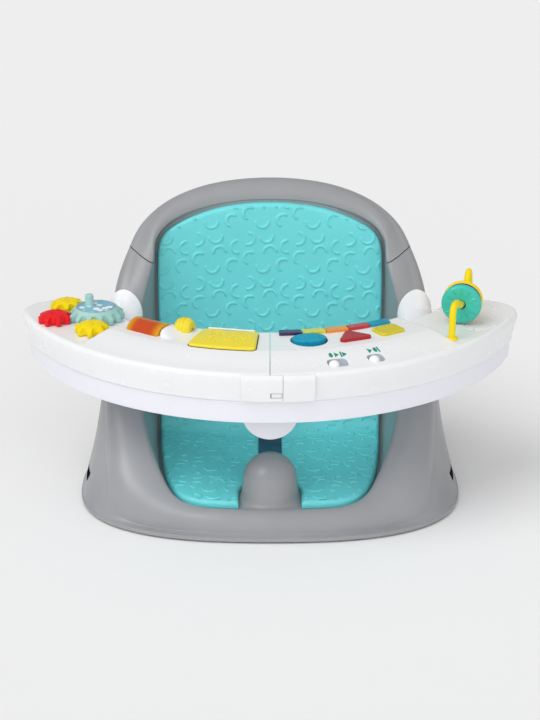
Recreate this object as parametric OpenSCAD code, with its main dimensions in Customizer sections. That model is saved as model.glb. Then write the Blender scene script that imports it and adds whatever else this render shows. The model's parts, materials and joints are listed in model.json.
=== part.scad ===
// Baby floor seat with a two-level tray: a rounded shell with a backrest arch, a foam liner
// and a lap harness, a snack tray hooked over the arms, and two toy decks that sit on the tray.
// Millimetres. Seen from the front, +X is to the right, the front faces -Y and +Z is up.
// The origin is on the floor, under the middle of the whole part.

/* [Seat shell] */
// Width of the base at its widest
base_w = 396; // [388:2:404]
// Depth of the base in front of its widest line
base_front = 136; // [130:1:140]
// Depth of the base behind its widest line
base_rear = 138; // [132:1:144]
// Place of the widest line of the base
base_mid_y = 15; // [10:1:20]
// Squareness of the base outline
base_square = 2.6; // [2.4:0.1:2.8]
// Width across the crests of the two arms
crest_w = 306; // [300:1:308]
// Place of the front lip's crest
crest_front = -101; // [-103:1:-99]
// Place of the arch's crest
crest_rear = 127; // [124:1:130]
// Height of the front lip
lip_h = 28; // [27:0.5:30]
// Height of the top of the backrest arch
arch_h = 309; // [304:1:314]
// Height of the seam between the shell and the arch
seam_h = 242; // [238:1:246]
// Wall thickness of the shell and the arch
shell_wall = 3; // [2.4:0.2:3.6]
// Gap that shows at the seams between two mouldings
seam_gap = 0.4; // [0.2:0.1:0.6]
// Height of the lip around the foot of the shell
flange_h = 4; // [3:0.5:5]
// How far that lip stands out
flange_out = 1.5; // [1:0.25:2]
// How far the side walls swell between the foot and the rim
wall_swell = 2; // [0:0.5:4]

/* [Strap slots in the wings] */
// Length of the slot for a chair strap in each wing
wing_slot_len = 30; // [26:1:34]
// Height of that slot
wing_slot_h = 12; // [10:1:14]
// Height of the slot's lower edge
wing_slot_z = 18; // [16:1:20]
// Place of the middle of the slot
wing_slot_y = 2; // [-4:1:8]

/* [Base plate and feet] */
// Thickness of the plate under the shell
plate_t = 2.5; // [2:0.25:3]
// Gap between the plate and the shell's wall
plate_gap = 0.6; // [0.4:0.1:1]
// Radius of the rubber feet
foot_r = 13; // [11:0.5:15]
// Height of the rubber feet below the plate
foot_h = 2; // [1.8:0.1:2.6]
// Radius of the stud that holds a foot in the plate
stud_r = 4; // [3:0.5:5]
// Distance of the feet from the middle, across the part
foot_x = 140; // [132:2:146]
// Distance of the feet from the widest line of the base
foot_y = 82; // [76:2:88]
// Diameter of the screws
screw_d = 3; // [2.6:0.2:3.6]
// Diameter of the screw heads
screw_head_d = 6; // [5.4:0.2:7]
// Height of the screw heads
screw_head_h = 1.4; // [1.2:0.1:1.6]
// Length of the screws' threads
screw_len = 14; // [12:1:16]
// Clearance round each screw
screw_gap = 0.05; // [0.03:0.01:0.1]
// Radius of the screw bosses
boss_r = 4.5; // [4:0.25:5.5]
// Distance of the base screws from the middle, across the part
base_screw_x = 60; // [54:1:64]
// Places of the base screws, front and rear
base_screw_y = [-38, 44]; // [-60:1:60]

/* [Pommel] */
// Width of the pommel between the legs
pommel_w = 58; // [54:1:62]
// Depth of the pommel, front to back
pommel_d = 56; // [52:1:60]
// Height of the top of the pommel
pommel_h = 75; // [70:1:80]
// Place of the middle of the pommel
pommel_y = -68; // [-70:1:-66]

/* [Liner] */
// Height of the seat floor under the liner
floor_h = 25; // [24:0.5:26]
// Place of the front end of the seat floor
floor_front = -96; // [-97:0.5:-95]
// Length of the flat seat floor
floor_len = 162; // [158:1:166]
// Radius of the bend from the seat floor to the back
bend_r = 34; // [30:1:38]
// Lean of the back from upright
back_lean = 2; // [1:0.5:4]
// Half width of the liner
liner_half = 122; // [119:1:123]
// How far the sides of the liner curl towards the child
liner_curl = 10; // [6:1:12]
// Thickness of the foam liner
liner_t = 7; // [6:0.5:8]
// Crown of the foam liner between its edges
liner_crown = 1.2; // [0.6:0.2:2]
// Gap between the liner and the rim around it
liner_edge_gap = 2.5; // [2:0.5:3]
// Air left between a soft piece and what it lies on
soft_gap = 0.3; // [0.3:0.1:0.5]
// Clearance of the liner around the pommel
pommel_gap = 3; // [2:0.5:4]

/* [Harness] */
// Width of the webbing
webbing_w = 25; // [20:1:30]
// Thickness of the webbing
webbing_t = 1.6; // [1.4:0.1:2]
// Clearance of the webbing in its slots
slot_gap = 1; // [0.6:0.2:1.6]
// Place of the crotch strap's slot
crotch_slot_y = 4; // [0:1:8]
// Distance of each waist slot from the middle
waist_slot_x = 96; // [92:1:98]
// Height of the middle of the waist slots
waist_slot_h = 90; // [86:1:94]
// Width of the buckle
buckle_w = 42; // [38:1:46]
// Length of the buckle
buckle_len = 46; // [42:1:50]
// Thickness of the buckle
buckle_t = 14; // [12:1:16]

/* [Tray outline] */
// Radius of the tray's front edge at the ridge
rim_r = 274; // [271:1:276]
// Centre of the front edge's arc
rim_cy = 123; // [121:1:125]
// Radius of the belly cut-out
belly_r = 207; // [206:0.5:208]
// Centre of the belly cut-out's arc
belly_cy = 150.5; // [149.5:0.5:151.5]
// Radius of the lobes at the ends
lobe_r = 32; // [30:0.5:34]
// Angle from the side at which the lobe meets the front edge
lobe_angle = 21.5; // [20.5:0.5:22.5]
// Distance of the snack tray's lobes from the middle, on their inner sides
lobe_inner_x = 190; // [189:0.5:192]
// Angle at which the lobes' rear edge falls back towards the arms
lobe_skew = 17; // [14:1:20]

/* [Snack tray] */
// Height of the snack tray's underside
snack_bottom = 138.5; // [137:0.5:140]
// Height of the snack tray's rim, where the toy decks sit
snack_top = 163; // [161:0.5:165]
// How far the snack tray's rim lies inside the ridge
snack_inset = 6.5; // [5:0.5:8]
// How far its wall draws in down to the underside
snack_taper = 4; // [3:0.5:5]
// Wall thickness of the tray mouldings
tray_wall = 3; // [2.5:0.25:3.5]
// Place of the tray's rear edge in front of the arms
arm_notch_y = 4; // [2:0.5:5]
// Radius of the tongue under the front
tongue_r = 27.5; // [26:0.5:29]
// How far the tongue hangs below the tray
tongue_drop = 26; // [24:1:28]
// Place of the tongue's rear face
tongue_y = -116; // [-122:1:-112]
// Thickness of the tongue
tongue_t = 4; // [3:0.5:5]

/* [Toy decks] */
// Height of the ridge round the toy decks
ridge_h = 193; // [191:0.5:195]
// Height of the raised platform
platform_h = 201.5; // [200:0.5:203]
// How far the deck wall draws in from the ridge down to its lower edge
deck_taper = 5; // [4:0.5:6]
// Width of the flat ridge
ridge_w = 3; // [2:0.5:4]
// Width of the slope from the ridge up to the platform
slope_w = 38; // [35:1:40]
// Half angle of the raised platform
platform_angle = 44; // [43:0.5:45]
// Gap between the two toy decks
deck_gap = 0.6; // [0.4:0.1:1]
// Gap between the decks and the arms
arm_gap = 3; // [2:0.5:4]
// Thickness of the covers under the decks
cover_t = 2; // [1.8:0.1:2.4]
// Gap round the covers
cover_gap = 0.5; // [0.3:0.1:0.8]

/* [Arm hooks] */
// Gap between a hook and the arm that it wraps
hook_gap = 0.8; // [0.6:0.1:1.2]
// Thickness of the hooks
hook_t = 3.2; // [2.8:0.2:3.8]
// Length of the foot that carries each hook
hook_foot_len = 9; // [7:1:11]
// Height of the arm's crest above the snack tray where each hook starts
hook_lift = 14; // [13:0.5:15]

/* [Front clasp] */
// Where the left half of the clasp starts, from the middle
clasp_left = 27.5; // [25:0.5:30]
// Where the two halves of the clasp meet
clasp_split = 12.3; // [11:0.1:14]
// Where the right half ends
clasp_right = 43; // [40:1:46]
// How far the clasp stands out from the decks' wall
clasp_out = 3; // [2.4:0.2:3.4]
// How much further the right half stands out
clasp_step = 1; // [0.6:0.2:1.4]
// Air between the clasp and the wall of the other deck
clasp_gap = 0.3; // [0.2:0.1:0.5]

/* [Gears] */
// Teeth on the drive gear
drive_teeth = 14; // [14]
// Teeth on each small gear
small_teeth = 8; // [8]
// Distance between the drive gear's axis and a small gear's
gear_distance = 42.5; // [42:0.5:43]
// Distance of the drive gear from the middle, across the part
gear_x = 178; // [176:1:180]
// Place of the drive gear
gear_y = 7; // [5:1:9]
// How far the teeth stand outside the pitch circle
tooth_out = 2; // [1.8:0.1:2.2]
// How far the gaps reach inside the pitch circle
tooth_in = 3; // [2.8:0.1:3.4]
// Share of the pitch that a tooth fills
tooth_fill = 0.41; // [0.38:0.01:0.42]
// Thickness of the gears
gear_t = 7; // [6:0.5:8]
// Air under the gears
gear_float = 0.6; // [0.4:0.1:0.8]
// Diameter of the gear posts
post_d = 8; // [7:0.5:9]
// Clearance of what turns on a post or an axle
turn_gap = 0.05; // [0.03:0.01:0.1]
// Height of the domes on the small gears
dome_h = 4; // [3:0.5:5]
// Radius of those domes
dome_r = 11; // [10:0.5:11.5]
// Height of the cone on the drive gear
cone_h = 8; // [7:0.5:9]
// Radius of the picture disc on the drive gear
disc_r = 20; // [19:0.5:21]
// Thickness of the picture disc
disc_t = 1; // [0.8:0.1:1.4]
// Diameter of the crank peg
peg_d = 9; // [8:0.5:10]
// Height of the crank peg
peg_h = 8; // [7:0.5:9]
// Distance of the crank peg from the drive gear's axis
peg_out = 9; // [7:0.5:11]

/* [Roller and spinner] */
// Radius of the roller
roller_r = 16; // [15:0.5:17]
// Length of the roller
roller_len = 39; // [37:1:40]
// Distance of the roller from the toys' centre
roller_dist = 206; // [204:1:208]
// Angle of the roller round the toys' centre
roller_angle = -35.4; // [-36:0.1:-35]
// How deep the roller's axis lies below the platform
roller_sink = 7; // [6:0.5:8]
// Diameter of the roller's axle
axle_d = 4; // [3:0.5:5]
// Gap round what turns in a window
window_gap = 1; // [0.8:0.1:1.4]
// Radius of the spinner
spinner_r = 9.5; // [9:0.25:10]
// Thickness of the spinner
spinner_t = 15; // [13:1:16]
// Distance of the spinner from the toys' centre
spinner_dist = 190; // [189.5:0.5:191]
// Angle of the spinner round the toys' centre
spinner_angle = -26.5; // [-26.8:0.1:-26]

/* [Flap] */
// Angle at which the flap starts
flap_from = -20.5; // [-22:0.5:-19]
// Angle at which the flap ends
flap_to = -3.5; // [-5:0.5:-3]
// Distance of the flap's hinge edge from the toys' centre
flap_near = 185; // [184:0.5:186]
// Length of the flap
flap_len = 45; // [43:1:47]
// Thickness of the flap
flap_t = 3.6; // [3:0.2:4]
// Radius of the flap's knuckle
knuckle_r = 2.6; // [2.4:0.1:3]
// Diameter of the flap's pin
flap_pin_d = 2; // [1.6:0.2:2.4]

/* [Keys and buttons] */
// Gap from the belly edge to the keys
key_edge = 1.7; // [1.4:0.1:2]
// Length of the keys
key_len = 10; // [9:0.5:11]
// Angle that a key spans
key_span = 6.05; // [5.8:0.05:6.1]
// Angle of the first key
key_first = 5.4; // [5:0.1:5.8]
// Angle from one key to the next
key_step = 6.3; // [6.25:0.05:6.5]
// How far the keys and buttons stand out
key_out = 3; // [2.6:0.2:3.4]
// How far the keys and buttons travel
key_travel = 2; // [1.6:0.1:2.2]
// Gap round the keys and buttons
key_gap = 0.5; // [0.3:0.1:0.7]
// Length of the oval button
oval_len = 34; // [32:1:36]
// Width of the oval button
oval_w = 24; // [22:1:26]
// Width of the triangular button
triangle_w = 33; // [31:1:35]
// Depth of the triangular button
triangle_d = 24; // [22:1:26]
// Length of the oblong button
oblong_len = 28; // [26:1:30]
// Width of the oblong button
oblong_w = 21; // [19:1:23]
// Radius of the buttons' corners
corner_r = 4; // [3:0.5:5]

/* [Switches] */
// Length of each switch pocket
switch_len = [20, 16]; // [14:1:24]
// Width of the switch pockets
switch_w = 12; // [11:0.5:13]
// Radius of the switch knobs
knob_r = 5; // [4.5:0.25:5.5]
// Height of the switch knobs above the pocket's floor
knob_h = 5.5; // [5:0.5:6.5]
// Distance of the switches behind the tray's front edge
switch_in = 15; // [13:0.5:17]
// Angles of the two switches
switch_angle = [14.6, 23.4]; // [12:0.2:26]

/* [Bead wire] */
// Diameter of the bead wire
wire_d = 6.8; // [6:0.2:7.2]
// Radius of the large bead
bead_r = 20.5; // [19.5:0.5:21.5]
// Radius of the beads' holes
bead_hole_r = 4.6; // [4.2:0.2:5.6]
// Thickness of the large beads
bead_t = 8; // [7:0.5:8.5]
// Gap between two beads
bead_gap = 0.6; // [0.5:0.1:1]
// Radius of the bead wire's feet
wire_foot_r = 6.5; // [6:0.5:8]

/* [Hidden] */
$fn = 96;

// ---------- Shared functions ----------
function unit(v) = v / norm(v);
function flip(v) = [for (k = [0:len(v) - 1]) k == 0 ? -v[k] : v[k]];
// Row i of a table that runs from the front middle to the rear middle, mirrored past both ends.
function row(rows, i) =
    let (last = len(rows) - 1)
    i < 0 ? flip(rows[-i]) : i > last ? flip(rows[2 * last - i]) : rows[i];
// A smooth curve through the rows of such a table.
function smooth(rows, u) =
    let (i = min(floor(u), len(rows) - 2), t = u - i,
         a = row(rows, i - 1), b = row(rows, i), c = row(rows, i + 1), d = row(rows, i + 2))
    0.5 * (2 * b + (c - a) * t + (2 * a - 5 * b + 4 * c - d) * t * t
           + (3 * b - a - 3 * c + d) * t * t * t);

// ---------- Seat shell: stations from the middle of the lip round to the middle of the arch ----
z0 = foot_h;
// Crest of the rim, as shares of half the crest width, the crest's depth and its rise.
CREST = [
    [0, 0, 0], [0.3, 0.004, 0], [0.52, 0.03, 0.004], [0.655, 0.075, 0.03],
    [0.755, 0.15, 0.09], [0.835, 0.25, 0.17], [0.895, 0.36, 0.25], [0.94, 0.465, 0.35],
    [0.98, 0.56, 0.465], [0.998, 0.64, 0.585], [0.968, 0.72, 0.695], [0.902, 0.80, 0.79],
    [0.815, 0.87, 0.872], [0.632, 0.94, 0.94], [0.355, 0.983, 0.985], [0, 1, 1]];
// Step from the crest to the rim's inner edge.
INNER = [
    [0, 3, -2], [-1, 3, -2], [-3, 3, -2.4], [-4, 3, -4],
    [-6, 3, -6], [-7, 3, -8], [-8, 2, -11], [-10, 1, -15],
    [-12, 0, -19], [-14, -4, -21], [-17, -13, -20], [-15.5, -16, -17],
    [-6, -17, -15], [0, -18, -17], [-1, -19, -17], [0, -20, -18]];
// The base outline's angle at each station, and the reach and drop of the rim's outer round.
OUTER = [
    [0, 16, 20], [12, 16, 20], [25, 18, 22], [36, 26, 30],
    [47, 38, 42], [57, 42, 52], [67, 38, 54], [77, 32, 48],
    [87, 24, 36], [97, 15, 24], [108, 14, 17], [119, 14, 16],
    [131, 14, 15], [144, 14, 15], [161, 14, 16], [180, 14, 16]];
// Half width of the liner's bed as a share of its full half width, and the place along it.
LINER = [
    [0, 0], [0.36, 0.8], [0.6, 5], [0.76, 17],
    [0.86, 40], [0.92, 72], [0.955, 106], [0.98, 140],
    [0.995, 180], [1, 235], [1, 300], [1, 372],
    [0.97, 408], [0.81, 426], [0.44, 442], [0, 447]];
// How much of the step from the foot in to the rim is done at each third of the wall's height.
FLARE = [0, 0.52, 0.82];
stations = 2;
half_count = (len(CREST) - 1) * stations;
ring_count = 2 * half_count;
spans = 8;

function crest(u) =
    let (c = smooth(CREST, u))
    [c[0] * crest_w / 2, crest_front + c[1] * (crest_rear - crest_front),
     lip_h + c[2] * (arch_h - lip_h)];
function base_point(a) =
    let (p = 2 / base_square, c = cos(a))
    [base_w / 2 * pow(abs(sin(a)), p),
     base_mid_y - sign(c) * (c > 0 ? base_front : base_rear) * pow(abs(c), p)];

// The liner's bed: flat, then a bend, then the leaning back. Each gives y, z and its slope.
bend_angle = 90 - back_lean;
bend_len = bend_r * bend_angle * PI / 180;
function bed(s) =
    s < floor_len ? [floor_front + s, floor_h, 0]
    : s < floor_len + bend_len
        ? let (a = (s - floor_len) / bend_r * 180 / PI)
          [floor_front + floor_len + bend_r * sin(a), floor_h + bend_r * (1 - cos(a)), a]
        : let (e = s - floor_len - bend_len)
          [floor_front + floor_len + bend_r * sin(bend_angle) + e * cos(bend_angle),
           floor_h + bend_r * (1 - cos(bend_angle)) + e * sin(bend_angle), bend_angle];
function bed_point(x, s, lift) =
    let (b = bed(s),
         rise = lift + liner_curl * pow(x / liner_half, 2) * max(0, min(1, s / floor_len)))
    [x, b[0] - rise * sin(b[2]), b[1] + rise * cos(b[2])];

// One section of the shell's skin, from the foot of the outer wall to the liner's bed.
function outer_skin(u) =
    let (t = crest(u), n = smooth(INNER, u), o = smooth(OUTER, u), l = smooth(LINER, u),
         b = base_point(o[0]), w = norm(b - [t[0], t[1]]), d = (b - [t[0], t[1]]) / w,
         inner = t + n, f = bed_point(l[0] * liner_half, l[1], 0),
         foot = z0 + flange_h, shoulder = t[2] - o[2],
         swell = wall_swell * min(1, (shoulder - foot) / 100),
         side = concat(
             [[w + flange_out, z0], [w + flange_out, foot - 1], [w, foot]],
             [for (k = [1, 2])
                 [w + (o[1] - w) * FLARE[k] + swell, foot + (shoulder - foot) * k / 3]],
             [for (a = [0, 22.5, 45, 67.5]) [o[1] * cos(a), shoulder + o[2] * sin(a)]]))
    concat(
        [for (p = side) [t[0] + d[0] * p[0], t[1] + d[1] * p[0], p[1]]],
        [t],
        [for (a = [30, 60, 90]) t + [n[0] * sin(a), n[1] * sin(a), n[2] * (1 - cos(a))]],
        [for (k = [1, 2]) inner + (f - inner) * k / 3],
        [f]);
// The same section inside the hollow, one wall thickness away.
function hollow_skin(u) =
    let (t = crest(u), n = smooth(INNER, u), o = smooth(OUTER, u), l = smooth(LINER, u),
         b = base_point(o[0]), w = norm(b - [t[0], t[1]]), d = (b - [t[0], t[1]]) / w,
         back = shell_wall * 0.8, away = unit([n[0], n[1]]) * back,
         inner = t + n + [-away[0], -away[1], -back],
         f = bed_point(l[0] * (liner_half + back), l[1], -shell_wall),
         foot = z0 + flange_h, shoulder = t[2] - o[2], reach = o[1] - shell_wall,
         swell = wall_swell * min(1, (shoulder - foot) / 100),
         side = concat(
             [[w - shell_wall, z0], [w - shell_wall, foot],
              [w - shell_wall + (reach - w + shell_wall) * 0.72 + swell, (foot + shoulder) / 2]],
             [for (a = [0, 45]) [reach * cos(a), shoulder + (o[2] - shell_wall) * sin(a)]]))
    concat(
        [for (p = side) [t[0] + d[0] * p[0], t[1] + d[1] * p[0], p[1]]],
        [t - [0, 0, shell_wall], inner, (inner + f) / 2, f]);

// Rings of points round the part, and the rows across the bed inside the last ring.
function side_of(j) = j <= half_count ? 1 : -1;
function station_of(j) = j <= half_count ? j : ring_count - j;
function rings(sections) =
    [for (i = [0:len(sections[0]) - 1]) for (j = [0:ring_count - 1])
        let (p = sections[station_of(j)][i]) [side_of(j) * p[0], p[1], p[2]]];
function bed_rows(half, shift, grow, lift, crown) =
    [for (j = [1:half_count - 1]) for (c = [1:spans - 1])
        let (l = smooth(LINER, j / stations), w = 1 - 2 * c / spans)
        bed_point(w * l[0] * half, shift + l[1] * grow, lift + crown * (1 - w * w))];
function band(a, b) =
    [for (j = [0:ring_count - 1]) let (k = (j + 1) % ring_count)
        each [[a + j, b + j, b + k], [a + j, b + k, a + k]]];
function bed_row(ring, fill, j) =
    concat([ring + j], [for (c = [0:spans - 2]) fill + (j - 1) * (spans - 1) + c],
           [ring + ring_count - j]);
function bed_faces(ring, fill) =
    let (first = bed_row(ring, fill, 1), last = bed_row(ring, fill, half_count - 1))
    concat(
        [for (k = [0:spans - 1]) [ring, first[k + 1], first[k]]],
        [for (k = [0:spans - 1]) [last[k], last[k + 1], ring + half_count]],
        [for (j = [1:half_count - 2])
            let (a = bed_row(ring, fill, j), b = bed_row(ring, fill, j + 1))
            for (k = [0:spans - 1])
                each [[a[k], a[k + 1], b[k + 1]], [a[k], b[k + 1], b[k]]]]);
function turned(faces) = [for (f = faces) [for (i = [len(f) - 1:-1:0]) f[i]]];

module shell_skin() {
    outer_sections = [for (j = [0:half_count]) outer_skin(j / stations)];
    hollow_sections = [for (j = [0:half_count]) hollow_skin(j / stations)];
    outer_rings = len(outer_sections[0]);
    hollow_rings = len(hollow_sections[0]);
    bed_size = (half_count - 1) * (spans - 1);
    outer_fill = outer_rings * ring_count;
    hollow_start = outer_fill + bed_size;
    hollow_fill = hollow_start + hollow_rings * ring_count;
    polyhedron(
        points = concat(
            rings(outer_sections), bed_rows(liner_half, 0, 1, 0, 0),
            rings(hollow_sections), bed_rows(liner_half + shell_wall * 0.8, 0, 1, -shell_wall, 0)),
        faces = concat(
            [for (i = [0:outer_rings - 2]) each band(i * ring_count, (i + 1) * ring_count)],
            bed_faces((outer_rings - 1) * ring_count, outer_fill),
            turned([for (i = [0:hollow_rings - 2])
                each band(hollow_start + i * ring_count, hollow_start + (i + 1) * ring_count)]),
            turned(bed_faces(hollow_start + (hollow_rings - 1) * ring_count, hollow_fill)),
            turned(band(0, hollow_start))));
}

module pommel() {
    top_r = pommel_w * 0.47;
    hull() {
        translate([0, pommel_y, floor_h])
            scale([pommel_w / 2, pommel_d / 2, 1])
                cylinder(r = 1, h = 4, $fn = 32);
        translate([0, pommel_y, pommel_h - top_r])
            scale([1, 0.9, 1])
                sphere(r = top_r, $fn = 32);
    }
}

// ---------- Screws and feet ----------
module screw(head_z) {
    translate([0, 0, head_z]) cylinder(d = screw_head_d, h = screw_head_h);
    translate([0, 0, head_z + screw_head_h]) cylinder(d = screw_d, h = screw_len, $fn = 32);
}
module base_screw_places() {
    for (s = [-1, 1]) for (y = base_screw_y) translate([s * base_screw_x, y, 0]) children();
}
module foot_places() {
    for (s = [-1, 1]) for (f = [-1, 1]) translate([s * foot_x, base_mid_y + f * foot_y, 0]) children();
}
bore_r = screw_d / 2 + screw_gap;
plate_top = foot_h + plate_t;

module seat_shell() {
    color("#a0a1a4") difference() {
        union() {
            shell_skin();
            pommel();
            base_screw_places() translate([0, 0, plate_top])
                cylinder(r = boss_r, h = floor_h + 0.4 - plate_top);
        }
        translate([-base_w / 2, -base_w / 2, seam_h - seam_gap / 2])
            cube([base_w, base_w, arch_h]);
        base_screw_places() translate([0, 0, plate_top - 1])
            cylinder(r = bore_r, h = screw_len + 1, $fn = 32);
        for (s = [-1, 1])
            translate([s > 0 ? base_w * 0.4 : -base_w * 0.6, wing_slot_y - wing_slot_len / 2,
                       wing_slot_z])
                cube([base_w * 0.2, wing_slot_len, wing_slot_h]);
        translate([-webbing_w / 2 - slot_gap, crotch_slot_y - slot_gap - webbing_t, 0])
            cube([webbing_w + 2 * slot_gap, webbing_t + 2 * slot_gap, floor_h + 1]);
        waist_slots(webbing_t + 2 * slot_gap, webbing_w + 2 * slot_gap);
    }
}

// The plate under the shell follows its foot, one wall and a gap further in.
function foot_ring(inset) =
    [for (j = [0:ring_count - 1])
        let (u = station_of(j) / stations, t = crest(u), b = base_point(smooth(OUTER, u)[0]),
             p = b - unit(b - [t[0], t[1]]) * inset)
        [side_of(j) * p[0], p[1]]];
module base_plate() {
    color("#8f9094") difference() {
        translate([0, 0, foot_h]) linear_extrude(plate_t)
            polygon(foot_ring(shell_wall + plate_gap));
        base_screw_places() cylinder(r = bore_r, h = far, $fn = 32);
        foot_places() cylinder(r = stud_r + screw_gap, h = far, $fn = 48);
    }
}
module rubber_feet() {
    color("#3a3b3d") foot_places() {
        cylinder(r = foot_r, h = foot_h);
        translate([0, 0, foot_h]) cylinder(r = stud_r, h = plate_t + 1, $fn = 48);
    }
}
module base_screws() {
    color("silver") base_screw_places() screw(foot_h - screw_head_h);
}

module backrest_arch() {
    color("#a0a1a4") intersection() {
        shell_skin();
        translate([-base_w / 2, -base_w / 2, seam_h + seam_gap / 2])
            cube([base_w, base_w, arch_h]);
    }
}

// One ring round the liner, drawn in from its widest line and lifted off its bed.
bed_end = LINER[len(LINER) - 1][1];
function liner_ring(inset, lift) =
    let (half = liner_half - liner_edge_gap - inset,
         shift = liner_edge_gap + inset, grow = 1 - 2 * shift / bed_end)
    [for (j = [0:ring_count - 1])
        let (l = smooth(LINER, station_of(j) / stations))
        bed_point(side_of(j) * l[0] * half, shift + l[1] * grow, lift)];

// The pad's rounded edge: how far each ring is drawn in, and its share of the thickness.
PAD_EDGE = [[1, 0], [0, 0.4], [0.6, 0.8], [2.2, 1]];
low_shift = liner_edge_gap + PAD_EDGE[0][0];
top_shift = liner_edge_gap + PAD_EDGE[3][0];
top_grow = 1 - 2 * top_shift / bed_end;
module seat_liner() {
    bed_size = (half_count - 1) * (spans - 1);
    top_fill = len(PAD_EDGE) * ring_count;
    color("#40c5c9") difference() {
        polyhedron(
            points = concat(
                [for (e = PAD_EDGE) each liner_ring(e[0], soft_gap + liner_t * e[1])],
                bed_rows(liner_half - top_shift, top_shift, top_grow,
                         soft_gap + liner_t, liner_crown),
                bed_rows(liner_half - low_shift, low_shift, 1 - 2 * low_shift / bed_end,
                         soft_gap, 0)),
            faces = concat(
                [for (i = [0:len(PAD_EDGE) - 2]) each band(i * ring_count, (i + 1) * ring_count)],
                bed_faces((len(PAD_EDGE) - 1) * ring_count, top_fill),
                turned(bed_faces(0, top_fill + bed_size))));
        translate([-webbing_w / 2 - slot_gap, crotch_slot_y - slot_gap - webbing_t, 0])
            cube([webbing_w + 2 * slot_gap, webbing_t + 2 * slot_gap, 2 * floor_h]);
        waist_slots(webbing_t + 2 * slot_gap, webbing_w + 2 * slot_gap);
        translate([0, pommel_y, floor_h - 1])
            linear_extrude(liner_t + 20) union() {
                scale([pommel_w / 2 + pommel_gap, pommel_d / 2 + pommel_gap])
                    circle(r = 1);
                translate([-pommel_w / 2 - pommel_gap, -pommel_d])
                    square([pommel_w + 2 * pommel_gap, pommel_d]);
            }
    }
}

// ---------- Tray outline, seen from above ----------
lobe_x = (rim_r - lobe_r) * cos(lobe_angle);
lobe_y = rim_cy - (rim_r - lobe_r) * sin(lobe_angle);
far = 2 * rim_r;
// The front edge is drawn this much too wide: what is turned about its centre trims it.
trim = 2;
function arc(centre, r, from, to, steps) =
    [for (k = [0:steps]) let (a = from + (to - from) * k / steps) centre + r * [cos(a), sin(a)]];
// The outline drawn in by inset. The lobes' rear edges run straight on from their round until
// they meet the belly cut-out, or a notch at [x, y] that is cut for the arms.
function tray_half(inset, notch) =
    let (r = lobe_r - inset, belly = belly_r + inset,
         end = [lobe_x - r * sin(lobe_skew), lobe_y + r * cos(lobe_skew)],
         way = -[cos(lobe_skew), sin(lobe_skew)], q = end - [0, belly_cy], b = q * way,
         meet = end + (-b - sqrt(b * b - q * q + belly * belly)) * way,
         tail = len(notch) == 0
             ? [meet]
             : [[notch[0], end[1] - (end[0] - notch[0]) * tan(lobe_skew)], notch],
         stop = tail[len(tail) - 1][1] - belly_cy)
    concat(
        arc([0, rim_cy], rim_r - inset + trim, -90, -lobe_angle, 24),
        arc([lobe_x, lobe_y], r, 7 - lobe_angle, 90 + lobe_skew, 18),
        tail,
        arc([0, belly_cy], belly, asin(stop / belly) - (len(notch) == 0 ? 1 : 0), -90, 24));
module tray_outline(inset, notch) {
    half = tray_half(inset, notch);
    polygon(concat(half, [for (k = [len(half) - 2:-1:1]) [-half[k][0], half[k][1]]]));
}
module revolve(points) {
    translate([0, rim_cy, 0]) rotate_extrude(convexity = 4) polygon(points);
}

// ---------- Harness ----------
back_foot = floor_len + bend_len;
// How far the webbing's middle line keeps off the liner's bed.
strap_lift = liner_t + liner_crown + 2 * soft_gap + webbing_t / 2;
module waist_slots(width, height) {
    for (s = [-1, 1])
        translate([s * waist_slot_x - width / 2, bed(back_foot)[0] - liner_t * 4,
                   waist_slot_h - height / 2])
            cube([width, liner_t * 8, height]);
}
// A band of even thickness along a way, seen from its edge.
function ribbon(way, t) =
    let (last = len(way) - 1,
         side = [for (k = [0:last])
             let (run = unit(way[min(k + 1, last)] - way[max(k - 1, 0)])) [-run[1], run[0]]])
    concat([for (k = [0:last]) way[k] + side[k] * t / 2],
           [for (k = [last:-1:0]) way[k] - side[k] * t / 2]);
module crotch_strap() {
    start = crotch_slot_y - floor_front;
    way = concat(
        [[crotch_slot_y, floor_h - 6], [crotch_slot_y, floor_h + strap_lift - 3],
         [crotch_slot_y + 0.8, floor_h + strap_lift - 0.3]],
        [for (j = [0:half_count])
            let (s = top_shift + top_grow * smooth(LINER, j / stations)[1], b = bed(s))
            if (s > start + 4 && s < back_foot + buckle_len / 2)
                [b[0] - strap_lift * sin(b[2]), b[1] + strap_lift * cos(b[2])]]);
    color("#0e5c73") translate([-webbing_w / 2, 0, 0])
        rotate([90, 0, 90]) linear_extrude(webbing_w) polygon(ribbon(way, webbing_t));
}
module waist_strap_right() {
    y = bed(back_foot)[0] - strap_lift;
    curl = liner_curl * pow(waist_slot_x / liner_half, 2);
    way = [
        [waist_slot_x, y + 18], [waist_slot_x, y - curl + 3], [waist_slot_x - 1, y - curl - 1.5],
        [waist_slot_x - 5, y - curl - 3], [waist_slot_x - 22, y - curl - 1.6],
        [waist_slot_x / 2, y - 4], [buckle_w / 2 + 6, y - buckle_t / 2 + 2],
        [buckle_w / 2 - 4, y - buckle_t / 2 + 1.6]];
    color("#0e5c73") translate([0, 0, waist_slot_h - webbing_w / 2])
        linear_extrude(webbing_w) polygon(ribbon(way, webbing_t));
}
module waist_strap_left() {
    mirror([1, 0, 0]) waist_strap_right();
}
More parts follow.
